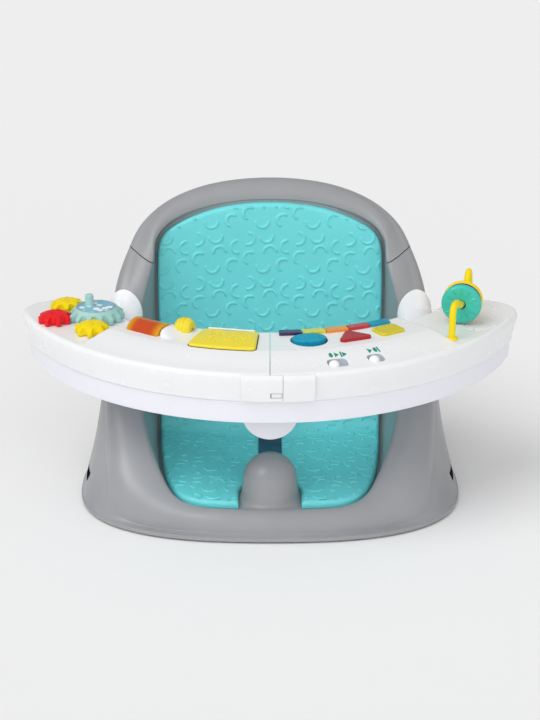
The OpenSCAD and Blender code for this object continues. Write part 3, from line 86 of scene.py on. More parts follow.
def linear(code: str) -> tuple[float, float, float, float]:
    """Turn a written colour into the shader's linear one.

    Args:
        code: six hexadecimal digits.

    Returns:
        Red, green, blue and alpha.
    """
    parts = [int(code[i : i + 2], 16) / 255 for i in (0, 2, 4)]
    low = [c / 12.92 if c <= 0.04045 else ((c + 0.055) / 1.055) ** 2.4 for c in parts]
    return (low[0], low[1], low[2], 1.0)


class Texture(Enum):
    """What the surface of a moulding or a cloth is like from close by."""

    GLOSSY = "glossy"
    MATT = "matt"
    HATCHED = "hatched"
    WOVEN = "woven"
    FOAM = "foam"
    METAL = "metal"
    PRINTED = "printed"
    ROLLER = "roller"


class Nodes:
    """Adds nodes to a tree."""

    def __init__(self, tree: NodeTree) -> None:
        """Keep the tree."""
        self.tree = tree

    def feed(self, socket: NodeSocket, value: object) -> None:
        """Link a socket to an input, or give the input a value."""
        if isinstance(value, NodeSocket):
            self.tree.links.new(value, socket)
        else:
            socket.default_value = value

    def node(self, kind: str, settings: dict | None = None, **inputs: object) -> Node:
        """Add a node.

        Args:
            kind: the node's type.
            settings: properties of the node itself.
            inputs: values or sockets for its inputs, with _ for a space.

        Returns:
            The node.
        """
        made = self.tree.nodes.new(kind)
        for key, value in (settings or {}).items():
            setattr(made, key, value)
        for key, value in inputs.items():
            self.feed(made.inputs[key.replace("_", " ")], value)
        return made


class Recipe(Nodes):
    """Writes the nodes of one material."""

    def __init__(self, name: str) -> None:
        """Start a material with its shader and its object coordinates."""
        self.material = bpy.data.materials.new(name)
        self.material.use_nodes = True
        super().__init__(self.material.node_tree)
        self.shader = self.tree.nodes["Principled BSDF"]
        self.place = self.node("ShaderNodeTexCoord").outputs["Object"]

    def noise(self, scale: float, detail: float = 2.0) -> NodeSocket:
        """Return a noise of so many cells in a metre, from 0 to 1."""
        return self.node(
            "ShaderNodeTexNoise", Vector=self.place, Scale=scale, Detail=detail
        ).outputs["Fac"]

    def waves(self, scale: float, direction: str) -> NodeSocket:
        """Return straight waves across X, Y, Z or DIAGONAL."""
        settings = {"wave_type": "BANDS", "bands_direction": direction}
        return self.node(
            "ShaderNodeTexWave", settings, Vector=self.place, Scale=scale, Distortion=0.0
        ).outputs["Fac"]

    def join(self, how: str, a: NodeSocket, b: object) -> NodeSocket:
        """Return two values joined by a sum, product or the like."""
        made = self.node("ShaderNodeMath", {"operation": how})
        for socket, value in zip(made.inputs, (a, b)):
            self.feed(socket, value)
        return made.outputs[0]

    def ramp(self, value: NodeSocket, span: Sequence[float],
             to: Sequence[float] = (0.0, 1.0), kind: str = "LINEAR") -> NodeSocket:
        """Map a value's span onto another one."""
        return self.node(
            "ShaderNodeMapRange", {"interpolation_type": kind}, Value=value, From_Min=span[0],
            From_Max=span[1], To_Min=to[0], To_Max=to[1],
        ).outputs["Result"]

    def dot(self, way: Sequence[float]) -> NodeSocket:
        """Return how far a point of the surface lies along a way."""
        made = self.node("ShaderNodeVectorMath", {"operation": "DOT_PRODUCT"})
        self.feed(made.inputs[0], self.place)
        self.feed(made.inputs[1], way)
        return made.outputs["Value"]

    def glow(self, place: tuple[float, float], turn: float, half: float) -> NodeSocket:
        """Return a share that fades from 1 in a roller's middle to 0 at its ends.

        Args:
            place: the roller's middle in millimetres, seen from above.
            turn: the way of its axis in degrees.
            half: how far from the middle the glow ends.

        Returns:
            The share's socket.
        """
        a = radians(turn)
        c, s = cos(a), sin(a)
        middle = (place[0] * c + place[1] * s) * MM
        centre = (place[1] * c - place[0] * s) * MM
        size = self.join("ABSOLUTE", self.join("SUBTRACT", self.dot((c, s, 0.0)), middle), 0.0)
        behind = self.join("SUBTRACT", self.dot((-s, c, 0.0)), centre)
        ends = self.ramp(size, (half * 0.45 * MM, half * MM), (1.0, 0.0), "SMOOTHSTEP")
        back = self.ramp(behind, (-4.0 * MM, 7.0 * MM), (1.0, 0.0), "SMOOTHSTEP")
        return self.join("MULTIPLY", ends, back)

    def bump(self, height: NodeSocket, depth: float) -> None:
        """Give the shader a relief of the stated depth in millimetres."""
        made = self.node("ShaderNodeBump", Height=height, Strength=1.0, Distance=depth * MM)
        self.tree.links.new(made.outputs["Normal"], self.shader.inputs["Normal"])


MADE: dict[str, Material] = {}


@dataclass(frozen=True)
class Finish:
    """One finish: its colour, its gloss and the texture of its surface."""

    name: str
    colour: str
    roughness: float = 0.35
    texture: Texture = Texture.GLOSSY
    second: str = ""
    mottle: float = 0.04
    coat: float = 0.0
    clear: float = 0.0
    soft: float = 0.0
    shine: float = 0.3

    def relief(self, recipe: Recipe) -> tuple[NodeSocket, float]:
        """Return the height field of the surface and its depth in millimetres."""
        if self.texture is Texture.MATT:
            return recipe.noise(1500, 3), 0.05
        if self.texture is Texture.HATCHED:
            across = recipe.join("MULTIPLY", recipe.waves(170, "X"), recipe.waves(170, "Y"))
            return across, 0.4
        if self.texture is Texture.WOVEN:
            threads = recipe.join("MULTIPLY", recipe.waves(700, "X"), recipe.waves(900, "Z"))
            return recipe.join("ADD", threads, recipe.noise(2500, 2)), 0.12
        if self.texture is Texture.FOAM:
            return recipe.join("ADD", recipe.noise(900, 3), recipe.noise(2600, 2)), 0.10
        if self.texture is Texture.METAL:
            return recipe.noise(800, 4), 0.02
        return recipe.noise(240, 2), 0.003

    def build(self) -> Material:
        """Write the material.

        Returns:
            The material, made once for each finish.
        """
        if self.name in MADE:
            return MADE[self.name]
        recipe = Recipe("finish_" + self.name)
        MADE[self.name] = recipe.material
        shader = recipe.shader.inputs
        base = linear(self.colour)
        other = linear(self.second) if self.second else tuple(
            [c * (1 - self.mottle) for c in base[:3]] + [1.0]
        )
        if self.texture is Texture.PRINTED:
            spots = recipe.node(
                "ShaderNodeTexVoronoi", Vector=recipe.place, Scale=125.0
            ).outputs["Distance"]
            share = recipe.ramp(spots, (0.40, 0.50))
        elif self.texture is Texture.ROLLER:
            share = recipe.glow(ROLLER_PLACE, ROLLER_TURN, 20.5)
        else:
            share = recipe.ramp(recipe.noise(26, 4), (0.35, 0.65))
        blend = recipe.node("ShaderNodeMix", {"data_type": "RGBA"})
        for index, value in ((0, share), (6, base), (7, other)):
            recipe.feed(blend.inputs[index], value)
        spread = (max(0.02, self.roughness - 0.02), min(1.0, self.roughness + 0.02))
        recipe.bump(*self.relief(recipe))
        values = {
            "Base Color": blend.outputs[2],
            "Roughness": recipe.ramp(recipe.noise(60, 5), (0.3, 0.7), spread),
            "Metallic": 1.0 if self.texture is Texture.METAL else 0.0,
            "Specular IOR Level": self.shine, "Coat Weight": self.coat, "Coat Roughness": 0.08,
            "Transmission Weight": self.clear, "IOR": 1.47, "Subsurface Weight": self.soft,
            "Subsurface Scale": 2 * MM,
            "Sheen Weight": 0.25 if self.texture is Texture.WOVEN else 0.0,
        }
        for key, value in values.items():
            recipe.feed(shader[key], value)
        return recipe.material


GREY = Finish("grey_satin", "9B9C9F", 0.36, Texture.MATT, shine=0.5)
PLATE_GREY = Finish("grey_matt", "8F9094", 0.55, Texture.MATT)
RUBBER = Finish("dark_rubber", "333436", 0.8, Texture.MATT)
# Painted shade: black for the shade inside the wing slots.
SLOT_SHADE_BLACK = Finish("slot_black", "0B0B0C", 0.6, Texture.MATT)
# Painted shade: a dark brown for the sheet under the flap, seen as the shadow in the gap round its
# edge.
GAP_SHADE_BROWN = Finish("well_brown", "4A3312", 0.6, Texture.MATT)
STEEL = Finish("zinc_steel", "C4C4C8", 0.32, Texture.METAL)
FOAM_TEAL = Finish("foam_teal", "70E0E4", 0.5, Texture.FOAM, soft=0.1, shine=0.9)
WEBBING = Finish("webbing_teal", "0F6580", 0.75, Texture.WOVEN, second="0A4C62")
BUCKLE = Finish("buckle_grey", "3A3B3D", 0.4, Texture.MATT)
SNACK_WHITE = Finish("snack_white", "EDEDF5", 0.3, mottle=0.01)
TONGUE_WHITE = Finish("tongue_white", "E4E5EC", 0.35, mottle=0.01)
DECK_WHITE = Finish("deck_white", "EFF0F1", 0.26, mottle=0.008, shine=0.45)
HOOK_WHITE = Finish("hook_white", "F0F0F4", 0.3, mottle=0.01)
COVER_WHITE = Finish("cover_white", "DCDDE2", 0.5, Texture.MATT, mottle=0.02)
SAGE = Finish("sage_plastic", "A6D2CD", 0.3)
DISC_PRINT = Finish("disc_print", "F0F6F8", 0.2, Texture.PRINTED, second="7DBCD2", coat=0.2)
DISC_RING = Finish("disc_ring", "8FA6BC", 0.3)
YELLOW = Finish("yellow_plastic", "F6DB0C", 0.25, mottle=0.02)
RED = Finish("red_plastic", "EA1E26", 0.25, mottle=0.03)
FLAP_YELLOW = Finish("flap_yellow", "F2DE3A", 0.28, mottle=0.02)
AMBER = Finish("amber_clear", "D99E14", 0.12, Texture.ROLLER, second="C4481A", coat=0.5)
ORANGE_CORE = Finish("orange_core", "D0501F", 0.45, second="C86A1E")
KEY_COLOURS = ("43285A", "E4DC46", "F29A33", "C8303A", "129CBC")
BUTTON_TEAL = Finish("button_teal", "08A0C4", 0.25, Texture.HATCHED, shine=0.5)
BUTTON_RED = Finish("button_red", "B81C24", 0.25, Texture.HATCHED, shine=0.5)
BUTTON_YELLOW = Finish("button_yellow", "E2D020", 0.25, Texture.HATCHED, shine=0.5)
WINDOW_GREY = Finish("window_grey", "8C97A8", 0.4)
# Painted shade: a grey for the lower walls and floors of the deck's recesses, where shade falls.
POCKET_SHADE_GREY = Finish("pocket_grey", "BCC5CE", 0.4)
KNOB_WHITE = Finish("knob_white", "F6F6F7", 0.25, mottle=0.01, shine=0.5)
SIGN_GREEN = Finish("sign_green", "12967F", 0.4)
BEAD_TEAL = Finish("bead_teal", "3FC4B0", 0.2, shine=0.5)
BEAD_PURPLE = Finish("bead_purple", "4A3A86", 0.25)
SILICONE = Finish("silicone", "C9C9C4", 0.7, Texture.MATT)
BOARD = Finish("board_green", "2F7D4F", 0.4)
CELL = Finish("cell_wrap", "C9A23A", 0.3)
SPEAKER_BLACK = Finish("speaker_black", "3A3B3D", 0.6, Texture.MATT)

# --- meshes


def add_object(name: str, data: object) -> Object:
    """Put a new object with its data in the scene."""
    made = bpy.data.objects.new(name, data)
    bpy.context.scene.collection.objects.link(made)
    return made


# A grid point nearer an outline than this share of a cell is drawn onto it.
EDGE_SHARE = 0.35
SLOPE_STEP = 0.05
# A form's points in millimetres and its faces.
Form = tuple[np.ndarray, Sequence[Sequence[int]]]


@contextmanager
def editing(mesh: Mesh, source: Mesh | None = None) -> Iterator[BMesh]:
    """Open a mesh, or the source that it is made from, and write the changes to the mesh."""
    shape = bmesh.new()
    shape.from_mesh(source or mesh)
    yield shape
    shape.to_mesh(mesh)
    shape.free()


def new_piece(name: str, form: Form, finish: Finish, crease: float = 35.0,
              outwards: bool = True) -> Object:
    """Make a smooth-shaded piece with sharp creases.

    Args:
        name: the piece's name.
        form: its points and faces.
        finish: its finish.
        crease: the angle in degrees from which an edge stays sharp.
        outwards: recalculate the faces so that they point outwards.

    Returns:
        The piece, with its place in its mesh.
    """
    mesh = bpy.data.meshes.new(name)
    points = np.asarray(form[0], float) * MM
    mesh.from_pydata(points.tolist(), [], [list(f) for f in form[1]])
    if outwards:
        with editing(mesh) as shape:
            bmesh.ops.recalc_face_normals(shape, faces=shape.faces)
    mesh.materials.append(finish.build())
    smooth(mesh, crease)
    return add_object(name, mesh)


def smooth(mesh: Mesh, crease: float) -> None:
    """Shade a mesh smooth, but for the edges that bend more than crease degrees."""
    with editing(mesh) as shape:
        for face in shape.faces:
            face.smooth = True
        for edge in shape.edges:
            edge.smooth = edge.calc_face_angle(0.0) < radians(crease)


def soften(piece: Object, width: float, segments: int, angle: float) -> None:
    """Round the edges of a piece.

    Args:
        piece: the piece.
        width: the rounding's width in millimetres.
        segments: steps across the rounding.
        angle: the bend in degrees from which an edge is rounded.
    """
    bevel = piece.modifiers.new("rounding", "BEVEL")
    bevel.width = width * MM
    bevel.segments = segments
    bevel.limit_method = "ANGLE"
    bevel.angle_limit = radians(angle)
    bevel.use_clamp_overlap = False
    flatten(piece)


def flatten(piece: Object) -> None:
    """Shade a piece's large faces flat."""
    piece.modifiers.new("flat_faces", "WEIGHTED_NORMAL").keep_sharp = True


def settle(piece: Object, node: str, stands: bool = True) -> Object:
    """Put a piece on a node's body; a piece that stands for the node replaces it."""
    record = frame["record"]
    body = [b for b, members in record["behaviour"]["bodies"].items() if node in members][0]
    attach(piece, body)
    if stands:
        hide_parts(node)
    LOG.info("%s: %d faces, on %s", piece.name, len(piece.data.polygons), body)
    return piece


def add_piece(node: str, name: str, form: Form, finish: Finish, crease: float = 35.0,
              stands: bool = True) -> Object:
    """Make a piece that stands for a node or adds to it.

    Args:
        node: the node.
        name: the piece's name.
        form: its points and faces.
        finish: its finish.
        crease: the angle in degrees from which an edge stays sharp.
        stands: whether the piece stands for the node.

    Returns:
        The piece.
    """
    return settle(new_piece(name, form, finish, crease), node, stands)


def cover_node(
    node: str, finish: Finish, width: float = 0.6, segments: int = 3, angle: float = 40.0,
    merge: bool = True, grow: float = 1.0,
) -> Object:
    """Stand a copy of a node's mesh, with rounded edges, in the node's place.

    Args:
        node: the node.
        finish: the copy's finish.
        width: the rounding's width in millimetres, or 0 for none.
        segments: steps across the rounding.
        angle: the bend in degrees from which an edge is rounded.
        merge: join flat faces into one; not for a face with a hole in it.
        grow: how much larger the copy is, about its middle.

    Returns:
        The copy.
    """
    mesh = bpy.data.meshes.new(node + "_skin")
    with editing(mesh, frame["nodes"][node].data) as shape:
        bmesh.ops.remove_doubles(shape, verts=shape.verts, dist=0.004 * MM)
        if merge:
            bmesh.ops.dissolve_limit(
                shape, angle_limit=radians(0.4), verts=shape.verts, edges=shape.edges
            )
        if grow != 1.0:
            low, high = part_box(node)
            middle = (low + high) / 2
            for vertex in shape.verts:
                vertex.co = middle + (vertex.co - middle) * grow
    mesh.materials.append(finish.build())
    smooth(mesh, angle)
    piece = add_object(mesh.name, mesh)
    if width > 0:
        soften(piece, width, segments, angle)
    return settle(piece, node)


def dress_node(node: str, finish: Finish) -> None:
    """Give a node that stays as it is its finish."""
    data = frame["nodes"][node].data
    data.materials.clear()
    data.materials.append(finish.build())
    smooth(data, 40.0)


BOX_FACES = ((0, 1, 3, 2), (4, 6, 7, 5), (0, 4, 5, 1), (2, 3, 7, 6), (0, 2, 6, 4), (1, 5, 7, 3))


def grid_faces(rows: int, columns: int, start: int = 0, closed: bool = True) -> list[list[int]]:
    """Return the faces of a grid of points.

    Args:
        rows: how many rows there are.
        columns: how many points there are in a row.
        start: the index of the first point.
        closed: whether the last column joins the first.

    Returns:
        Four-sided faces.
    """
    faces = []
    for i in range(rows - 1):
        for j in range(columns if closed else columns - 1):
            a, b = start + i * columns + j, start + i * columns + (j + 1) % columns
            faces.append([a, b, b + columns, a + columns])
    return faces


def closed_grid(rows: int, columns: int) -> list[list[int]]:
    """Return a closed grid's faces together with the two that close its ends."""
    last = (rows - 1) * columns
    ends = [list(range(columns))[::-1], list(range(last, last + columns))]
    return grid_faces(rows, columns) + ends


def lathe(profile: Sequence[Sequence[float]], steps: int, closed: bool = False) -> Form:
    """Turn a profile about Z.

    Args:
        profile: radius and height of each point.
        steps: how many steps there are round the axis.
        closed: whether both ends of the form are closed.

    Returns:
        Points and faces.
    """
    angles = np.linspace(0, 2 * np.pi, steps, endpoint=False)
    points = [[r * cos(a), r * sin(a), z] for r, z in profile for a in angles]
    return np.array(points), (closed_grid if closed else grid_faces)(len(profile), steps)


def hoop(profile: Sequence[Sequence[float]], steps: int) -> Form:
    """Turn a closed profile about Z, so that its last point joins its first."""
    points, _ = lathe(profile, steps)
    faces = grid_faces(len(profile) + 1, steps)
    return points, [[i % len(points) for i in f] for f in faces]


def arc(x: float, y: float, r: float, degrees: np.ndarray) -> list[tuple[float, float]]:
    """Return an arc's points at angles about its centre."""
    return [(x + r * cos(a), y + r * sin(a)) for a in np.radians(degrees)]


def box(xs: Sequence[float], ys: Sequence[float], zs: Sequence[float]) -> Form:
    """Return a box between two values on each axis."""
    return np.array([[x, y, z] for x in xs for y in ys for z in zs]), BOX_FACES


def joined(forms: Sequence[Form]) -> Form:
    """Return several forms as one."""
    faces, count = [], 0
    for points, own in forms:
        faces += [[count + i for i in f] for f in own]
        count += len(points)
    return np.vstack([points for points, _ in forms]), faces


def level(flat: np.ndarray, z: float) -> np.ndarray:
    """Return flat points at one height."""
    return np.column_stack([flat, np.full(len(flat), z)])


def tube(path: np.ndarray, radius: float, sides: int) -> Form:
    """Sweep a round section along a path and close its ends.

    Args:
        path: points in millimetres.
        radius: the section's radius.
        sides: the section's sides.

    Returns:
        Points and faces.
    """
    runs = np.gradient(path, axis=0)
    runs /= np.linalg.norm(runs, axis=1)[:, None]
    side = np.cross(runs, [1.0, -0.2, 0.0])
    side /= np.linalg.norm(side, axis=1)[:, None]
    up = np.cross(side, runs)
    turn = np.linspace(0, 2 * np.pi, sides, endpoint=False)
    rings = (path[:, None] + radius * np.cos(turn)[None, :, None] * side[:, None]
             + radius * np.sin(turn)[None, :, None] * up[:, None])
    return rings.reshape(-1, 3), closed_grid(len(path), sides)


def flat_ring(
    x: float, y: float, z: float, r: float, wire: float, sides: int, squash: float,
    start: float = 0.0, span: float = 360.0,
) -> Form:
    """Return a raised ring or arc whose section is flattened in height."""
    path = level(np.array(arc(x, y, r, np.linspace(start, start + span, int(span / 5) + 1))), z)
    points, faces = tube(path, wire, sides)
    points[:, 2] = z + (points[:, 2] - z) * squash
    return points, faces


def box_depth(flat: np.ndarray, half_x: float, half_y: float, r: float) -> np.ndarray:
    """Return how far points lie inside a rectangle with round corners, round the origin."""
    q = np.abs(flat) - [half_x - r, half_y - r]
    outside = np.linalg.norm(np.maximum(q, 0), axis=1)
    return r - outside - np.minimum(q.max(axis=1), 0)


def round_off(depth: np.ndarray, r: float | np.ndarray) -> np.ndarray:
    """Return how far a rounded edge falls at a depth inside it."""
    return r * (1 - np.sqrt(1 - (1 - np.clip(depth / r, 0, 1)) ** 2))


def outline_depth(flat: np.ndarray, outline: np.ndarray) -> np.ndarray:
    """Return how far points lie inside a closed outline; outside it is negative."""
    best = np.full(len(flat), 1e9)
    inside = np.zeros(len(flat), bool)
    for start, stop in zip(outline, np.roll(outline, -1, axis=0)):
        step = stop - start
        rel = flat - start
        t = np.clip(rel @ step / max(step @ step, 1e-9), 0, 1)
        best = np.minimum(best, np.linalg.norm(rel - t[:, None] * step, axis=1))
        if start[1] != stop[1]:
            x = start[0] + (flat[:, 1] - start[1]) * step[0] / step[1]
            inside ^= ((flat[:, 1] < start[1]) != (flat[:, 1] < stop[1])) & (flat[:, 0] < x)
    return np.where(inside, best, -best)


def slab(
    depth_of: Callable[[np.ndarray], np.ndarray],
    xs: np.ndarray,
    ys: np.ndarray,
    top: Callable[[np.ndarray, np.ndarray], np.ndarray],
    foot: Callable[[np.ndarray], np.ndarray],
    rings: int = 1,
) -> Form:
    """Make a closed form over a grid whose outer points are drawn onto an outline.

    Args:
        depth_of: how far flat points lie inside the outline.
        xs: the grid's columns.
        ys: the grid's rows.
        top: turns flat points and their depths into the upper face's points.
        foot: turns flat points into the lower face's points.
        rings: steps down the side.

    Returns:
        Points and faces.
    """
    near = EDGE_SHARE * min(xs[1] - xs[0], ys[1] - ys[0])
    grid = np.array([[x, y] for y in ys for x in xs])
    depth = depth_of(grid)
    cells = np.array(grid_faces(len(ys), len(xs), closed=False))
    cells = cells[depth[cells].max(axis=1) > near]
    used = np.unique(cells)
    number = np.full(len(grid), -1)
    number[used] = np.arange(len(used))
    cells = number[cells]
    flat, depth = grid[used], depth[used]
    edge = depth < near
    for _ in range(3):
        at, h = flat[edge], SLOPE_STEP
        slope = np.stack([depth_of(at + [h, 0]) - depth_of(at - [h, 0]),
                          depth_of(at + [0, h]) - depth_of(at - [0, h])], axis=1) / (2 * h)
        flat[edge] = at - slope * depth_of(at)[:, None]
    depth = np.where(edge, 0.0, depth)
    count = len(flat)
    upper, lower = top(flat, depth), foot(flat)
    faces = cells.tolist()
    ways = {(a, b) for c in faces for a, b in zip(c, c[1:] + c[:1])}
    rim = [(a, b) for a, b in ways if (b, a) not in ways]
    order = sorted({i for pair in rim for i in pair})
    rank = {i: k for k, i in enumerate(order)}
    mids = [upper[order] + (lower[order] - upper[order]) * t
            for t in np.linspace(0, 1, rings + 1)[1:-1]]

    def rim_point(i: int, ring: int) -> int:
        """Return the number of a rim point at a step down the side."""
        if ring == 0:
            return i
        if ring == rings:
            return count + i
        return 2 * count + (ring - 1) * len(order) + rank[i]

    walls = [[rim_point(b, k), rim_point(a, k), rim_point(a, k + 1), rim_point(b, k + 1)]
             for a, b in rim for k in range(rings)]
    faces += [[i + count for i in c[::-1]] for c in faces]
    return np.vstack([upper, lower] + mids), faces + walls


def spline(a: np.ndarray, b: np.ndarray, c: np.ndarray, d: np.ndarray, t: float) -> np.ndarray:
    """Return a point of the smooth curve between b and c, a share t of the way."""
    return 0.5 * (2 * b + (c - a) * t + (2 * a - 5 * b + 4 * c - d) * t**2
                  + (3 * b - a - 3 * c + d) * t**3)


def curve_through(points: np.ndarray, steps: int) -> np.ndarray:
    """Return a smooth curve through points, with so many steps between two of them."""
    ends = np.vstack([2 * points[0] - points[1], points, 2 * points[-1] - points[-2]])
    found = [
        spline(*ends[i - 1 : i + 3], t)
        for i in range(1, len(ends) - 2) for t in np.linspace(0, 1, steps, endpoint=False)
    ]
    return np.array(found + [points[-1]])


# --- seat shell


@dataclass(frozen=True)
class RimShape:
    """The seat's form: crest, inner step, outer round and liner bed at each station.

    The stations run from the middle of the front lip round to the middle of the arch.
    """

    base_w: float = 396.0
    base_front: float = 136.0
    base_rear: float = 138.0
    base_mid_y: float = 15.0
    base_square: float = 2.6
    base_even: float = 0.3256
    crest_w: float = 306.0
    crest_front: float = -101.0
    crest_rear: float = 127.0
    lip_h: float = 28.0
    arch_h: float = 309.0
    foot: float = 2.0
    flange_h: float = 4.0
    flange_out: float = 1.5
    wall: float = 3.0
    recess_h: float = 5.2
    wall_swell: float = 2.0
    floor_h: float = 25.0
    floor_front: float = -96.0
    floor_len: float = 162.0
    bend_r: float = 34.0
    back_lean: float = 2.0
    liner_half: float = 122.0
    liner_curl: float = 10.0
    crest_rows: tuple = (
        (0, 0, 0), (0.3, 0.004, 0), (0.52, 0.03, 0.004), (0.655, 0.075, 0.03),
        (0.755, 0.15, 0.09), (0.835, 0.25, 0.17), (0.895, 0.36, 0.25), (0.94, 0.465, 0.35),
        (0.98, 0.56, 0.465), (0.998, 0.64, 0.585), (0.968, 0.72, 0.695), (0.902, 0.80, 0.79),
        (0.815, 0.87, 0.872), (0.632, 0.94, 0.94), (0.355, 0.983, 0.985), (0, 1, 1),
    )
    inner_rows: tuple = (
        (0, 3, -2), (-1, 3, -2), (-3, 3, -2.4), (-4, 3, -4),
        (-6, 3, -6), (-7, 3, -8), (-8, 2, -11), (-10, 1, -15),
        (-12, 0, -19), (-14, -4, -21), (-17, -13, -20), (-15.5, -16, -17),
        (-6, -17, -15), (0, -18, -17), (-1, -19, -17), (0, -20, -18),
    )
    outer_rows: tuple = (
        (0, 16, 20), (12, 16, 20), (25, 18, 22), (36, 26, 30),
        (47, 38, 42), (57, 42, 52), (67, 38, 54), (77, 32, 48),
        (87, 24, 36), (97, 15, 24), (108, 14, 17), (119, 14, 16),
        (131, 14, 15), (144, 14, 15), (161, 14, 16), (180, 14, 16),
    )
    liner_rows: tuple = (
        (0, 0), (0.36, 0.8), (0.6, 5), (0.76, 17),
        (0.86, 40), (0.92, 72), (0.955, 106), (0.98, 140),
        (0.995, 180), (1, 235), (1, 300), (1, 372),
        (0.97, 408), (0.81, 426), (0.44, 442), (0, 447),
    )

    def at(self, rows: tuple, station: float) -> np.ndarray:
        """Return a table's smooth value at a station; the table is mirrored past its ends."""
        table = np.array(rows, float)
        last = len(table) - 1
        flip = np.ones(table.shape[1])
        flip[0] = -1
        low = min(int(math.floor(station)), last - 1)
        near = [
            table[-i] * flip if i < 0 else table[2 * last - i] * flip if i > last else table[i]
            for i in range(low - 1, low + 3)
        ]
        return spline(*near, station - low)

    def crest(self, station: float) -> np.ndarray:
        """Return the rim's highest point at a station."""
        c = self.at(self.crest_rows, station)
        return np.array([
            c[0] * self.crest_w / 2,
            self.crest_front + c[1] * (self.crest_rear - self.crest_front),
            self.lip_h + c[2] * (self.arch_h - self.lip_h),
        ])

    def base_point(self, degrees: float) -> np.ndarray:
        """Return the base outline's point at an angle from the front."""
        power = 2 / self.base_square
        c, s = cos(radians(degrees)), sin(radians(degrees))
        reach = self.base_front if c > 0 else self.base_rear
        width = abs(s) ** power
        if c < 0 and abs(s) < self.base_even:
            width = abs(s) * self.base_even ** (power - 1)
        return np.array([
            self.base_w / 2 * width, self.base_mid_y - math.copysign(1, c) * reach * abs(c) ** power,
        ])

    def bed(self, s: float) -> tuple[float, float, float]:
        """Return the liner bed's depth, height and slope in radians at a place along it."""
        turn = radians(90 - self.back_lean)
        a = min(max(s - self.floor_len, 0.0) / self.bend_r, turn)
        rest = max(0.0, s - self.floor_len - self.bend_r * turn)
        return (
            self.floor_front + min(s, self.floor_len) + self.bend_r * sin(a)
            + rest * cos(turn),
            self.floor_h + self.bend_r * (1 - cos(a)) + rest * sin(turn),
            a,
        )

    def on_bed(self, x: float, s: float, lift: float) -> np.ndarray:
        """Return the point at x and s on the liner's bed, lifted off it."""
        y, z, slope = self.bed(s)
        curl = self.liner_curl * (x / self.liner_half) ** 2 * min(1, max(0, s / self.floor_len))
        rise = lift + curl
        return np.array([x, y - rise * sin(slope), z + rise * cos(slope)])

    def section(self, station: float) -> np.ndarray:
        """Return the skin's section at a station, from the foot of the wall to the bed."""
        top = self.crest(station)
        inner = self.at(self.inner_rows, station)
        angle, reach, drop = self.at(self.outer_rows, station)
        if station > len(self.outer_rows) - 2:
            behind = tuple((180 - row[0],) for row in self.outer_rows)
            angle = 180 - self.at(behind, station)[0]
        share, along = self.at(self.liner_rows, station)
        out = self.base_point(angle) - top[:2]
        width = float(np.linalg.norm(out))
        out /= width
        foot = self.foot + self.flange_h
        shoulder = top[2] - drop
        swell = self.wall_swell * min(1, (shoulder - foot) / 100)
        wall = np.array([
            [width, foot],
            [width + (reach - width) * 0.52 + swell, foot + (shoulder - foot) / 3],
            [width + (reach - width) * 0.82 + swell, foot + (shoulder - foot) * 2 / 3],
            [reach, shoulder],
        ])
        side = [[width - self.wall, self.recess_h], [width - self.wall, self.foot]]
        side.append([width + self.flange_out, self.foot])
        side += [[width + self.flange_out, foot - 1.2], [width + self.flange_out * 0.6, foot]]
        side += curve_through(wall, 4).tolist()[:-1]
        turns = np.radians(np.arange(0, 90, 9))
        side += [[reach * cos(a), shoulder + drop * sin(a)] for a in turns]
        points = [[top[0] + out[0] * p, top[1] + out[1] * p, z] for p, z in side]
        points.append(list(top))
        for a in np.radians(np.arange(9, 91, 9)):
            step = [inner[0] * sin(a), inner[1] * sin(a), inner[2] * (1 - cos(a))]
            points.append(list(top + step))
        bed = self.on_bed(share * self.liner_half, along, 0)
        points += [list(top + inner + (bed - top - inner) * k / 4) for k in (1, 2, 3, 4)]
        return np.array(points)


